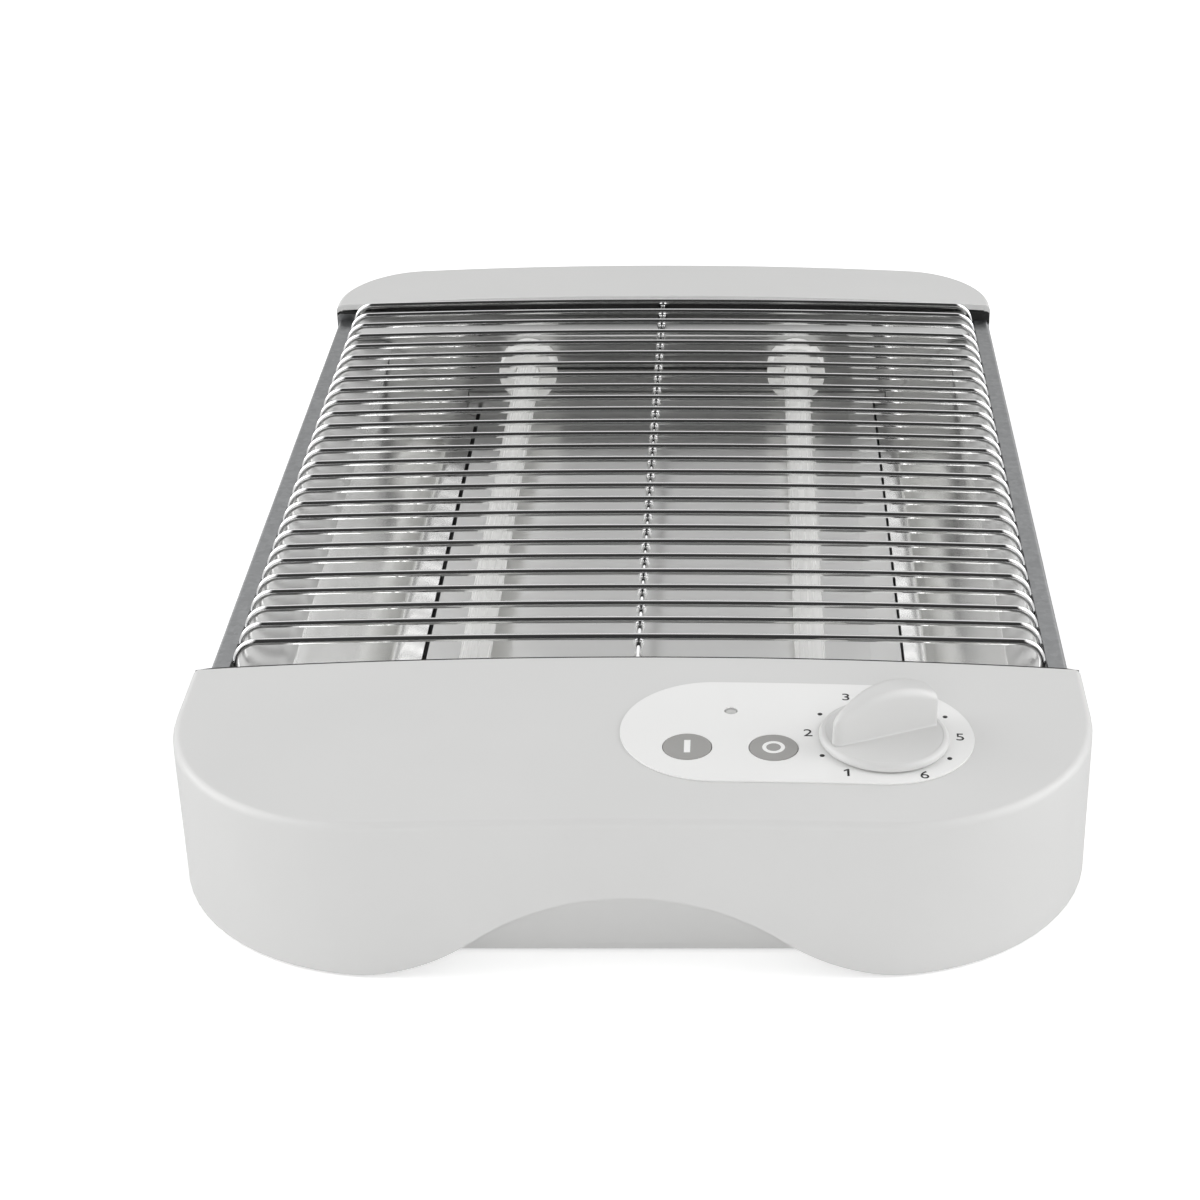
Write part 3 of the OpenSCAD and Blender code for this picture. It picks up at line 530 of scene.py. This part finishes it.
def hoop_row_tree():
    """Sweeps a wire along a bent path and repeats it in a row."""
    tree, ask, given = new_grower("hoop_row", {
        "Path": "Geometry", "Wire radius": "Float", "Count": "Int", "Pitch": "Float",
        "Looseness": "Vector", "Finish": "Material"}, "Row")
    path = add(tree, "GeometryNodeMeshToCurve", None, {"Mesh": given["Path"]})
    wire = swept_wire(tree, path.outputs["Curve"], given["Wire radius"], HOOP_SIDES)
    step = add(tree, "ShaderNodeCombineXYZ", None, {"Y": given["Pitch"]})
    row = add(tree, "GeometryNodeMeshLine", None,
              {"Count": given["Count"], "Offset": step.outputs["Vector"]})
    least = add(tree, "ShaderNodeVectorMath", {"operation": "SCALE"},
                {"Vector": given["Looseness"], "Scale": -1.0})
    stray = add(tree, "FunctionNodeRandomValue", {"data_type": "FLOAT_VECTOR"},
                {"Min": least.outputs["Vector"], "Max": given["Looseness"], "Seed": STRAY_SEED})
    loose = add(tree, "GeometryNodeSetPosition", None,
                {"Geometry": row.outputs["Mesh"], "Offset": stray.outputs["Value"]})
    hoops = add(tree, "GeometryNodeInstanceOnPoints", None,
                {"Points": loose.outputs["Geometry"], "Instance": wire})
    hand_out(tree, "Row", hoops.outputs["Instances"], given["Finish"])
    return tree, ask


def coil_tree():
    """Winds a resistance wire round a straight axis along +Y."""
    tree, ask, given = new_grower("wound_coil", {
        "Start": "Vector", "Length": "Float", "Turns": "Float", "Coil radius": "Float",
        "Wire radius": "Float", "Finish": "Material"}, "Coil")
    helix = add(tree, "GeometryNodeCurveSpiral", None,
                {"Resolution": COIL_STEPS, "Rotations": given["Turns"], "Start Radius": given["Coil radius"],
                 "End Radius": given["Coil radius"], "Height": given["Length"]})
    wire = swept_wire(tree, helix.outputs["Curve"], given["Wire radius"], COIL_SIDES)
    laid = add(tree, "GeometryNodeTransform", None,
               {"Geometry": wire, "Translation": given["Start"], "Rotation": (-math.pi / 2, 0.0, 0.0)})
    hand_out(tree, "Coil", laid.outputs["Geometry"], given["Finish"])
    return tree, ask


def spread_tree():
    """Sets a template on each point of a mesh."""
    tree, ask, given = new_grower("set_on_points", {
        "Points": "Geometry", "Template": "Object", "Finish": "Material"}, "Set")
    one = add(tree, "GeometryNodeObjectInfo", None, {"Object": given["Template"]})
    copies = add(tree, "GeometryNodeInstanceOnPoints", None,
                 {"Points": given["Points"], "Instance": one.outputs["Geometry"]})
    hand_out(tree, "Set", copies.outputs["Instances"], given["Finish"])
    return tree, ask


hoop_row = hoop_row_tree()
wound_coil = coil_tree()
set_on_points = spread_tree()


def grown(name, base, grower, values, material):
    """An object made by a node tree and turned into plain mesh."""
    tree, ask = grower
    obj = make_object(name, base, material)
    grow = obj.modifiers.new("grow", "NODES")
    grow.node_group = tree
    for key, value in values.items():
        grow[ask[key]] = value
    grow[ask["Finish"]] = material
    return settle(obj)


def spread(name, template_mesh, points, material):
    """Copies of a template mesh on points in mm, as one piece."""
    template = make_object(name + "_template", template_mesh, material)
    base = bpy.data.meshes.new(name)
    base.from_pydata([Vector(p) * MM for p in points], [], [])
    obj = grown(name, base, set_on_points, {"Template": template}, material)
    bpy.data.objects.remove(template)
    bpy.data.meshes.remove(template_mesh)
    return obj


# Pieces with their solid's own shape: solid, piece, finish, rounding in mm and its steps, body, slot

for node, piece, finish, edge, steps, body, slot in (
        ("front_cap", "front_cap_moulding", off_white_abs, 0.6, 3, "chassis", "white_plastic"),
        ("rear_cap", "rear_cap_moulding", off_white_abs, 0.6, 3, "chassis", "white_plastic"),
        ("control_panel", "control_panel_film", white_film, 0.15, 2, "chassis", "panel_white"),
        ("front_bulkhead", "front_bulkhead_sheet", wall_sheet, 0.35, 2, "chassis", "bright_steel"),
        ("rear_bulkhead", "rear_bulkhead_sheet", wall_sheet, 0.35, 2, "chassis", "bright_steel"),
        ("tray_pull", "tray_pull_moulding", off_white_abs, 0.6, 3, "tray", "white_plastic"),
        ("holders_front", "holders_front_ceramic", steatite, 0.5, 2, "chassis", "ceramic"),
        ("holders_rear", "holders_rear_ceramic", steatite, 0.5, 2, "chassis", "ceramic"),
        ("cord_gland", "cord_gland_bushing", black_rubber, 0.4, 2, "chassis", "black_plastic"),
        ("rubber_feet", "rubber_feet_pads", black_rubber, 0.8, 3, "chassis", "rubber")):
    finish_piece(soften(welded_copy(node, piece, finish), edge, steps), body, slot, node)

# Finishes of the solids that stay as they are
for node, finish in {
        "front_cover": off_white_abs, "bottom_plate": galvanised, "tray_rails": galvanised,
        "quartz_tube_left": quartz, "quartz_tube_right": quartz, "heater_pins": zinc_plate,
        "link_wire": black_braid, "supply_leads": black_braid, "pilot_led": lens_epoxy,
        "control_board": board_green, "timer_body": black_polyester, "start_switch": black_polyester,
        "stop_switch": black_polyester, "power_board": board_green, "power_relay": black_polyester,
        "terminal_block": black_polyester, "thermal_fuse": zinc_plate, "base_screws": zinc_plate,
        "timer_shaft": zinc_plate}.items():
    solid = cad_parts[node]
    solid.data.materials.clear()
    solid.data.materials.append(finish)


# Black strips under the caps' edges: painted shadow

SHADOW_STRIP_REACH = 122.5
SHADOW_STRIP_LEVEL = 120.8
SHADOW_STRIP_TURN = 2.2
SHADOW_STRIP_DROP = 0.25
SHADOW_STRIP_LAP = 0.2
SHADOW_STRIP_HEIGHT = 1.6
SHADOW_STRIP_WIDTH = 1.0
SHADOW_STRIP_END = 119.0
SHADOW_STRIP_END_WIDTH = 1.7
REAR_SHADOW_STRIP_REACH = 118.4
REAR_SHADOW_STRIP_Y = (REAR_EDGE + 0.6, REAR_EDGE + 1.8)
REAR_SHADOW_STRIP_DROP = 2.3
REAR_SHADOW_STRIP_LOW = 41.6
REAR_SHADOW_STRIP_END = 112.5
REAR_SHADOW_STRIP_END_LOW = 36.6
END_PLATE_Y = (REAR_EDGE - 0.35, REAR_EDGE - 0.05)
STRIP_END_Y = (REAR_EDGE - 0.6, REAR_EDGE - 0.36)


def even_steps(reach, steps):
    """Places from side to side, in even steps."""
    return [reach * (2 * i / steps - 1) for i in range(steps + 1)]


def front_shadow_strip():
    """Thin black strip that follows the crown behind the front cap's rear edge, wider at both ends: painted
    shadow under that edge.
    """
    rows = []
    front = CAP_EDGE - SHADOW_STRIP_LAP
    for x in even_steps(SHADOW_STRIP_REACH, 60):
        past = max(0.0, abs(x) - SHADOW_STRIP_LEVEL)
        top = crown(x) - SHADOW_STRIP_DROP - SHADOW_STRIP_TURN + math.sqrt(SHADOW_STRIP_TURN ** 2 - past ** 2)
        low = top - SHADOW_STRIP_HEIGHT
        back = CAP_EDGE + (SHADOW_STRIP_END_WIDTH if abs(x) > SHADOW_STRIP_END else SHADOW_STRIP_WIDTH)
        rows.append([(x, front, top), (x, back, top), (x, back, low), (x, front, low)])
    return loft(rows)


def rear_shadow_strip():
    """Black strip under the rear cap's front edge, deeper at both ends: painted shadow in the dark gap under
    it.
    """
    rows = []
    front, back = REAR_SHADOW_STRIP_Y
    for x in even_steps(REAR_SHADOW_STRIP_REACH, 48):
        low = REAR_SHADOW_STRIP_END_LOW if abs(x) > REAR_SHADOW_STRIP_END else REAR_SHADOW_STRIP_LOW
        top = crown(x) - REAR_SHADOW_STRIP_DROP
        rows.append([(x, front, top), (x, back, top), (x, back, low), (x, front, low)])
    return loft(rows)


def end_plate(sign, span, low, high):
    """Plate with rounded corners in front of the rear cap's skirt, beside the last hoop."""
    outline = [(113.4, low), (120.4, low), (121.3, low + 1.2), (121.3, high - 0.7), (120.2, high),
               (113.4, high)]
    return loft([[(sign * x, y, z) for x, z in outline] for y in span])


# Painted shadow: a black strip along the front cap's rear edge
shadow_strip = shaped("front_cap_seal", front_shadow_strip(), black_rubber)
finish_piece(shadow_strip, "chassis", "rubber")
# Painted shadow: a black strip under the rear cap's front edge, and black plates at its ends
rear_shadow_pieces = shaped("rear_cap_seal", joined(rear_shadow_strip(), end_plate(1, END_PLATE_Y, 35.4, 41.3),
                                         end_plate(-1, END_PLATE_Y, 38.4, 41.3)), black_rubber)
finish_piece(rear_shadow_pieces, "chassis", "rubber")
tab_mesh = make_mesh("left_strip_end", *end_plate(-1, STRIP_END_Y, 32.0, 40.4))
tab = soften(make_object("left_strip_end", tab_mesh, galvanised), 0.08, 2)
finish_piece(tab, "chassis", "galvanised")


# Buttons and pilot lens

BUTTON_PROUD = 0.12
BUTTON_RADIUS = 6.32
BUTTON_EDGE = 0.2
COLLAR_RADIUS = 7.8
COLLAR_THICK = 1.2
COLLAR_DROP = 2.5
STEM_RADIUS = 2.0
STEM_FOOT = 38.4
BAR_HALF = (0.82, 3.05)
RING_RADII = (2.95, 1.9)
PILOT = (26.1, -140.0)
LENS_FOOT = 40.0
# Radius of the lens and its depth under the film's face
LENS_DOME = [(1.65, 0.55), (1.5, 0.4), (1.1, 0.22), (0.6, 0.13), (0, 0.1)]


def button_face(x):
    """Height of a button's face at rest."""
    return crown(x) + PANEL_SHEET + BUTTON_PROUD


def button_body(x):
    """Flush push button: flat face, fine rounded edge, collar and stem below."""
    face = button_face(x)
    collar = crown(x + COLLAR_RADIUS) - COLLAR_DROP
    profile = [(0, STEM_FOOT), (STEM_RADIUS, STEM_FOOT), (STEM_RADIUS, collar - COLLAR_THICK),
               (COLLAR_RADIUS, collar - COLLAR_THICK), (COLLAR_RADIUS, collar), (BUTTON_RADIUS, collar),
               (BUTTON_RADIUS, face - BUTTON_EDGE),
               (BUTTON_RADIUS - 0.3 * BUTTON_EDGE, face - 0.25 * BUTTON_EDGE),
               (BUTTON_RADIUS - BUTTON_EDGE, face), (0, face)]
    return moved(lathe(profile, 96), x, BUTTON_Y)


wide, tall = BAR_HALF
bar = flat_print([(-wide, -tall), (wide, -tall), (wide, tall), (-wide, tall)])
ring = flat_print(*(circle(radius) for radius in RING_RADII))
for side, mark in (("start", bar), ("stop", ring)):
    x = BUTTON_X[side]
    button = shaped(side + "_button_body", button_body(x), grey_abs)
    finish_piece(button, side, "button_grey", side + "_button")
    on_button = Matrix.Translation(Vector((x, BUTTON_Y, button_face(x))) * MM)
    label = shaped(side + "_mark", mark, white_ink, sharp=30.0, place=on_button)
    finish_piece(label, side, "panel_white")

# Pilot lens: a shallow dome set just below the film
film_face = crown(PILOT[0]) + PANEL_SHEET
lens_profile = [(0, LENS_FOOT), (LENS_DOME[0][0], LENS_FOOT)] + [(r, film_face - d) for r, d in LENS_DOME]
lens = shaped("pilot_lens_dome", moved(lathe(lens_profile, 48), *PILOT), lens_epoxy, sharp=50.0)
finish_piece(lens, "chassis", "led_epoxy", "pilot_lens")


# Print round the dial

NUMERALS = {"1": (55.6, -169.8), "2": (46.3, -150.7), "3": (56.9, -131.8), "4": (76.0, -131.9),
            "5": (86.2, -150.6), "6": (75.7, -169.8)}
NUMERAL_HEIGHT = 3.4
NUMERAL_WIDEN = 1.08
NUMERAL_INK = 0.006
# Outline of the figure 1: a stem with a short flag, one unit high
FIGURE_ONE = [(0.08, 0), (0.25, 0), (0.25, 1), (0.13, 1), (-0.16, 0.8), (-0.16, 0.64), (0.08, 0.79)]
DOTS = [(49.7, -141.1), (66.0, -130.2), (83.0, -140.6), (49.7, -161.9), (82.7, -161.5)]
DOT_RADIUS = 0.66


def numeral_one(place):
    """The figure 1 as mesh."""
    outline = [(NUMERAL_HEIGHT * x, NUMERAL_HEIGHT * (y - 0.5)) for x, y in FIGURE_ONE]
    return make_mesh("numeral_1", *flat_print(outline), place)


def numeral_from_font(text, place):
    """A printed numeral as mesh."""
    curve = bpy.data.curves.new("numeral_" + text, "FONT")
    curve.body = text
    curve.align_x = "CENTER"
    curve.align_y = "CENTER"
    curve.extrude = NUMERAL_INK
    curve.resolution_u = 6
    obj = bpy.data.objects.new("numeral_" + text, curve)
    scene.collection.objects.link(obj)
    depsgraph = bpy.context.evaluated_depsgraph_get()
    mesh = bpy.data.meshes.new_from_object(obj.evaluated_get(depsgraph))
    bpy.data.objects.remove(obj)
    xs = [v.co.x for v in mesh.vertices]
    ys = [v.co.y for v in mesh.vertices]
    size = NUMERAL_HEIGHT * MM / (max(ys) - min(ys))
    centre = Vector(((max(xs) + min(xs)) / 2, (max(ys) + min(ys)) / 2, 0))
    scale = Matrix.Diagonal((NUMERAL_WIDEN * size, size, size, 1.0))
    mesh.transform(place @ scale @ Matrix.Translation(-centre))
    return mesh


work = bmesh.new()
for text, (x, y) in NUMERALS.items():
    place = on_panel(x, y, PRINT_LIFT)
    numeral = numeral_one(place) if text == "1" else numeral_from_font(text, place)
    work.from_mesh(numeral)
    bpy.data.meshes.remove(numeral)
bmesh.ops.remove_doubles(work, verts=work.verts, dist=JOIN_DISTANCE)
mesh = bpy.data.meshes.new("dial_numerals")
work.to_mesh(mesh)
work.free()
finish_piece(make_object("dial_numerals", mesh, black_ink), "chassis", "black_plastic")

dot = make_mesh("dial_dot", *flat_print(circle(DOT_RADIUS, 24)))
spots = [(x, y, crown(x) + PANEL_SHEET + PRINT_LIFT) for x, y in DOTS]
finish_piece(spread("dial_dots", dot, spots, black_ink), "chassis", "black_plastic")


# Timer knob: a thin round-edged disc with a half-moon grip across it

DIAL = (66.1, -153.0)
KNOB_RADIUS = 17.1
KNOB_DISC = 2.35
KNOB_TOP = 14.6
# The disc's lower edge, its rounded rim and the fine ridge inside it: inset and height
DISC_FOOT = [(0.5, 0.4), (0.15, 0.5), (0, 0.72)]
RIM_ROUND = (1.35, 1.4)
RIM_RIDGE = [(1.5, 0.03), (1.62, 0), (1.75, -0.08), (2.0, -0.12)]
DISC_DISH = 0.02
GRIP_ANGLE = 25.0
GRIP_REACH = 15.5
GRIP_SWEEP = 28.0
GRIP_PEAK = 1.0
GRIP_FRONT = 2.0
GRIP_BACK = 7.5
GRIP_BULGE = 55.0
GRIP_SWELL = 10.5
GRIP_ROUND = 2.3
GRIP_DRAFT = 0.3
# Length of the rounding at the pointing and at the blunt end, and how far both ends drop
GRIP_POINT_ROUND = 2.4
GRIP_BLUNT_ROUND = 1.3
GRIP_END_DROP = 1.4
# Fillet at the grip's foot: outward and upward
GRIP_FOOT = [(0.4, -0.05), (0.17, 0.08), (0.04, 0.25), (0, 0.5)]


def grip_row(u):
    """Cross-section of the grip at a place along it: foot fillet, drawn sides, rounded upper edges."""
    end = GRIP_POINT_ROUND if u < 0 else GRIP_BLUNT_ROUND
    t = max(0.0, (abs(u) - GRIP_REACH + end) / end)
    k = math.sqrt(max(0.0, 1.0 - t * t))
    back = GRIP_BACK - GRIP_BULGE + math.sqrt(GRIP_BULGE ** 2 - (u - GRIP_SWELL) ** 2)
    middle = (back - GRIP_FRONT) / 2
    half = (back + GRIP_FRONT) / 2 * k
    arch = math.sqrt(GRIP_SWEEP ** 2 - (u - GRIP_PEAK) ** 2)
    top = KNOB_TOP - GRIP_SWEEP + arch - GRIP_END_DROP * (1 - k)
    edge = min(GRIP_ROUND, 0.9 * half)
    draft = GRIP_DRAFT * k if half > 1 else 0.0
    side = [(half + out * k, KNOB_DISC + up) for out, up in GRIP_FOOT]
    foot = side[-1][1]
    rise = top - edge - foot
    side += [(half - draft * i / 4, foot + rise * i / 4) for i in range(1, 4)]
    side += [(half - draft - edge * (1 - math.cos(a)), top - edge * (1 - math.sin(a))) for a in quarter(8)]
    return [(u, middle - w, z) for w, z in side] + [(u, middle + w, z) for w, z in reversed(side)]


def knob_grip():
    """Grip drawn along its length; its end rows close to a line."""
    steps = 56
    rows = [grip_row(-GRIP_REACH * math.cos(math.pi * i / steps)) for i in range(steps + 1)]
    return [p for row in rows for p in row], ring_faces(len(rows), len(rows[0]))


def knob_disc():
    """Disc with a sloping round rim and a fine ridge inside it."""
    r, z = KNOB_RADIUS, KNOB_DISC
    wide, tall = RIM_ROUND
    foot = [(r - inset, height) for inset, height in DISC_FOOT]
    rim = [(r - wide + wide * math.cos(a), z - tall + tall * math.sin(a)) for a in quarter(9)]
    ridge = [(r - inset, z + height) for inset, height in RIM_RIDGE]
    return lathe([(0, foot[0][1])] + foot + rim + ridge + [(0, z - DISC_DISH)], 128)


on_dial = on_panel(*DIAL) @ Matrix.Rotation(math.radians(GRIP_ANGLE), 4, "Z")
knob = shaped("timer_knob_moulding", joined(knob_disc(), knob_grip()), off_white_abs,
              sharp=35.0, place=on_dial)
finish_piece(knob, "knob", "white_plastic", "timer_knob")


# Sheet metal of the trough

PANEL_FOLD = [(115.3, 38.0), (120.5, 38.0), (120.5, 4.0)]
PANEL_THICK = 0.8
PANEL_BEND = 1.0
SLOPES = {"left": [(68.6, 10.8), (76.1, 12.4), (100.1, LEDGE_Z)],
          "right": [(78.4, 13.2), (83.4, 13.6), (106.2, LEDGE_Z)]}
LEDGE_OUT = 119.4
LEDGE_IN = 112.9
REFLECTOR_THICK = 0.5
REFLECTOR_BEND = 7.0
LEDGE_BEND = 1.2
DULL_MARGIN = 1.6
TRAY_Z = 10.0
TRAY_FOLD = [(-67.4, TRAY_Z), (68.5, TRAY_Z), (77.6, 12.6)]
TRAY_SPAN = (-104.6, 189.8)
TRAY_THICK = 0.7
TRAY_BEND = 1.5
TRAY_STOP = ((-72.0, 144.0, TRAY_Z - TRAY_THICK), (82.2, 144.8, 15.6))

for side in ("left", "right"):
    fold = mirrored(PANEL_FOLD) if side == "left" else PANEL_FOLD
    sheet = folded_sheet(fold, SHEET_SPAN, PANEL_THICK, PANEL_BEND,
                         wave=0.05, wave_size=30.0, step=2.0, slice_step=6.0)
    panel = shaped("side_panel_sheet_" + side, sheet, galvanised)
    finish_piece(panel, "chassis", "galvanised", "side_panel_" + side)

for side, slope in SLOPES.items():
    fold = slope + [(LEDGE_OUT, LEDGE_Z)]
    ledge = [(LEDGE_IN, LEDGE_Z), (LEDGE_OUT, LEDGE_Z)]
    if side == "left":
        fold, ledge = mirrored(fold), mirrored(ledge)
    sheet = joined(folded_sheet(fold, TROUGH_SPAN, REFLECTOR_THICK, REFLECTOR_BEND, wave=0.02),
                   folded_sheet(ledge, (SHEET_SPAN[0], TROUGH_SPAN[0]), REFLECTOR_THICK, LEDGE_BEND),
                   folded_sheet(ledge, (TROUGH_SPAN[1], SHEET_SPAN[1]), REFLECTOR_THICK, LEDGE_BEND))
    reflector = shaped("reflector_sheet_" + side, sheet, mirror_sheet, shaded_ledge_sheet)
    # The ledge and the fold's outer part take the darker copy of the steel: painted shade over the fold's
    # highlight
    for face in reflector.data.polygons:
        face.material_index = int(abs(face.center.x) > (slope[-1][0] - DULL_MARGIN) * MM)
    finish_piece(reflector, "chassis", "bright_steel", "reflector_" + side)

floor_sheet = folded_sheet(TRAY_FOLD, TRAY_SPAN, TRAY_THICK, TRAY_BEND)
tray = shaped("crumb_tray_sheet", joined(floor_sheet, plate(*TRAY_STOP)), tray_sheet)
finish_piece(tray, "tray", "bright_steel", "crumb_tray")


# Grid

HOOPS = 27
HOOP_FIRST_Y = -96.0
HOOP_PITCH = 9.8
HOOP_LEG_X = 114.0
HOOP_AXIS_Z = 45.8
HOOP_WIRE = 1.0
HOOP_BEND = 6.6
HOOP_BOW = 1.7
HOOP_LOOSENESS = (0.0, 0.2, 0.1)
ROD_SPAN = (-117.0, 168.5)
ROD_Z = 43.6
ROD_RADIUS = 1.3
ROD_STEP = 0.7
WELD_SQUASH = 0.3
WELD_LENGTH = 1.1


def hoop_path():
    """Points of one hoop: foot, bend, bowed top, bend, foot."""
    reach = HOOP_LEG_X - HOOP_BEND
    low = HOOP_AXIS_Z - HOOP_BOW - HOOP_BEND
    bend = [(reach + HOOP_BEND * math.cos(a), low + HOOP_BEND * math.sin(a)) for a in quarter(12)]
    right = [(HOOP_LEG_X, LEDGE_Z)] + bend
    steps = 28
    across = [reach * (1 - 2 * i / steps) for i in range(1, steps)]
    top = [(x, HOOP_AXIS_Z - HOOP_BOW * (x / reach) ** 2) for x in across]
    return [Vector((x, HOOP_FIRST_Y, z)) * MM for x, z in right + top + mirrored(reversed(right))]


def welded_rod():
    """Rod under the hoops, pressed wider at each weld."""
    y0, y1 = ROD_SPAN
    slices = int((y1 - y0) / ROD_STEP) + 1
    rows = []
    for k in range(slices):
        y = y0 + (y1 - y0) * k / (slices - 1)
        near = (y - HOOP_FIRST_Y + HOOP_PITCH / 2) % HOOP_PITCH - HOOP_PITCH / 2
        swell = 1 + WELD_SQUASH * math.exp(-(near / WELD_LENGTH) ** 2)
        rows.append([(swell * a, y, ROD_Z + b) for a, b in circle(ROD_RADIUS, 14)])
    return loft(rows)


path = hoop_path()
base = bpy.data.meshes.new("grid_wires")
base.from_pydata(path, [(i, i + 1) for i in range(len(path) - 1)], [])
wires = grown("grid_wires", base, hoop_row,
              {"Wire radius": HOOP_WIRE * MM, "Count": HOOPS, "Pitch": HOOP_PITCH * MM,
               "Looseness": Vector(HOOP_LOOSENESS) * MM}, chrome_wire)
finish_piece(wires, "chassis", "chrome", "grid_hoops")
rod = shaped("grid_spine", welded_rod(), chrome_wire, sharp=60.0)
finish_piece(rod, "chassis", "chrome", "grid_rod")


# Windings of the heaters

TUBE_X = {"left": -49.0, "right": 49.0}
TUBE_Z = 27.0
COIL_SPAN = (-103.8, 141.2)
COIL_TURNS = 82.0
COIL_RADIUS = 1.85
COIL_WIRE = 0.35

for side, x in TUBE_X.items():
    seed = bpy.data.meshes.new("heater_winding_" + side)
    seed.from_pydata([(0, 0, 0)], [], [])
    winding = grown("heater_winding_" + side, seed, wound_coil,
                    {"Start": Vector((x, COIL_SPAN[0], TUBE_Z)) * MM,
                     "Length": (COIL_SPAN[1] - COIL_SPAN[0]) * MM, "Turns": COIL_TURNS,
                     "Coil radius": COIL_RADIUS * MM, "Wire radius": COIL_WIRE * MM}, oxidised_wire)
    finish_piece(winding, "chassis", "heater_alloy", "heater_coil_" + side)


# Stage, light and camera: places in metres, power in watts

FLOOR_REACH = 4000
FLOOR_LIFT = 0.5
WORLD_FILL = 0.40
WORLD_DARK = 0.04
AIM = (0, 0, 0.03)
SOFTBOX = (1.25, 0.03, 0.72)
SOFTBOX_SIZE = 1.3
SOFTBOX_POWER = 11.6
CARD = (0, -1.6, 0.34)
CARD_SIZE = 1.2
CARD_POWER = 9.6
CAMERA_PLACE = (0.0285, -0.7155, 0.391)
CAMERA_DOWN = 28.3
CAMERA_LENS = 75.6
CAMERA_SENSOR = 36.0
CAMERA_SHIFT = -0.11667


def pale_floor():
    """Plain white floor that keeps the shadow and meets the white backdrop."""
    material = bpy.data.materials.new("pale_floor")
    material.use_nodes = True
    tree = material.node_tree
    tree.nodes.clear()
    rays = add(tree, "ShaderNodeLightPath")
    lift = reckon(tree, "MULTIPLY", rays.outputs["Is Camera Ray"], FLOOR_LIFT)
    matt = add(tree, "ShaderNodeBsdfDiffuse", None, {"Color": linear("F0F0F0")})
    glow = add(tree, "ShaderNodeEmission", None, {"Color": linear("FFFFFF"), "Strength": lift})
    both = add(tree, "ShaderNodeAddShader", None, {0: matt.outputs["BSDF"], 1: glow.outputs["Emission"]})
    add(tree, "ShaderNodeOutputMaterial", None, {"Surface": both.outputs["Shader"]})
    r = FLOOR_REACH
    corners = [(-r, -r, 0), (r, -r, 0), (r, r, 0), (-r, r, 0)]
    floor = make_object("floor", make_mesh("floor", corners, [(0, 1, 2, 3)]), material)


def white_light(tree, strength):
    """White light of a strength for the world."""
    return add(tree, "ShaderNodeBackground", None,
               {"Color": linear("FFFFFF"), "Strength": strength}).outputs["Background"]


def studio_world():
    """White to the camera. Metal sees a bright band behind, sides that dim to the front, and dark between."""
    world = bpy.data.worlds.new("studio")
    scene.world = world
    world.use_nodes = True
    tree = world.node_tree
    tree.nodes.clear()
    rays = add(tree, "ShaderNodeLightPath").outputs
    toward = add(tree, "ShaderNodeTexCoord").outputs["Generated"]
    axes = add(tree, "ShaderNodeSeparateXYZ", None, {"Vector": toward}).outputs
    soft = "SMOOTHSTEP"
    behind = ranged(tree, axes["Y"], (0.0, 1.0), (0.1, 0.4), soft)
    low = ranged(tree, axes["Z"], (0.35, 1.45), (0.34, 0.5), soft)
    high = ranged(tree, axes["Z"], (1.0, 0.3), (0.6, 0.82), soft)
    band = reckon(tree, "MULTIPLY", low, high)
    backdrop = reckon(tree, "MULTIPLY_ADD", band, behind, WORLD_DARK)
    sides = ranged(tree, axes["Y"], (0.85, 1.45), (-0.6, 0.0), soft)
    across = reckon(tree, "ABSOLUTE", axes["X"])
    beside = ranged(tree, across, (WORLD_DARK, sides), (0.28, 0.46), soft)
    shown = white_light(tree, reckon(tree, "MAXIMUM", backdrop, beside))
    clear = reckon(tree, "MAXIMUM", rays["Is Camera Ray"], rays["Is Transmission Ray"])
    lit = add(tree, "ShaderNodeMixShader", None,
              {0: rays["Is Glossy Ray"], 1: white_light(tree, WORLD_FILL), 2: shown})
    out = add(tree, "ShaderNodeMixShader", None,
              {0: clear, 1: lit.outputs["Shader"], 2: white_light(tree, 1.0)})
    add(tree, "ShaderNodeOutputWorld", None, {"Surface": out.outputs["Shader"]})


def soft_lamp(name, place, size, power):
    """A large square softbox, turned to the object."""
    lamp = bpy.data.lights.new(name, "AREA")
    lamp.shape = "SQUARE"
    lamp.size = size
    lamp.energy = power
    obj = bpy.data.objects.new(name, lamp)
    scene.collection.objects.link(obj)
    obj.location = place
    obj.rotation_euler = (Vector(AIM) - Vector(place)).to_track_quat("-Z", "Y").to_euler()
    return obj


pale_floor()
studio_world()
for side, sign in (("left", -1), ("right", 1)):
    soft_lamp(side + "_softbox", (sign * SOFTBOX[0], *SOFTBOX[1:]), SOFTBOX_SIZE, SOFTBOX_POWER)
# The front card lights the walls; bright metal mirrors a dark studio there
soft_lamp("front_card", CARD, CARD_SIZE, CARD_POWER).visible_glossy = False

camera_data = bpy.data.cameras.new("photo_camera")
camera = bpy.data.objects.new("photo_camera", camera_data)
scene.collection.objects.link(camera)
camera_data.sensor_width = CAMERA_SENSOR
camera_data.lens = CAMERA_LENS
camera_data.shift_x = CAMERA_SHIFT
camera_data.clip_start = 0.01
camera.location = CAMERA_PLACE
camera.rotation_euler = (math.radians(90 - CAMERA_DOWN), 0.0, 0.0)
scene.camera = camera
scene.view_settings.view_transform = "Standard"
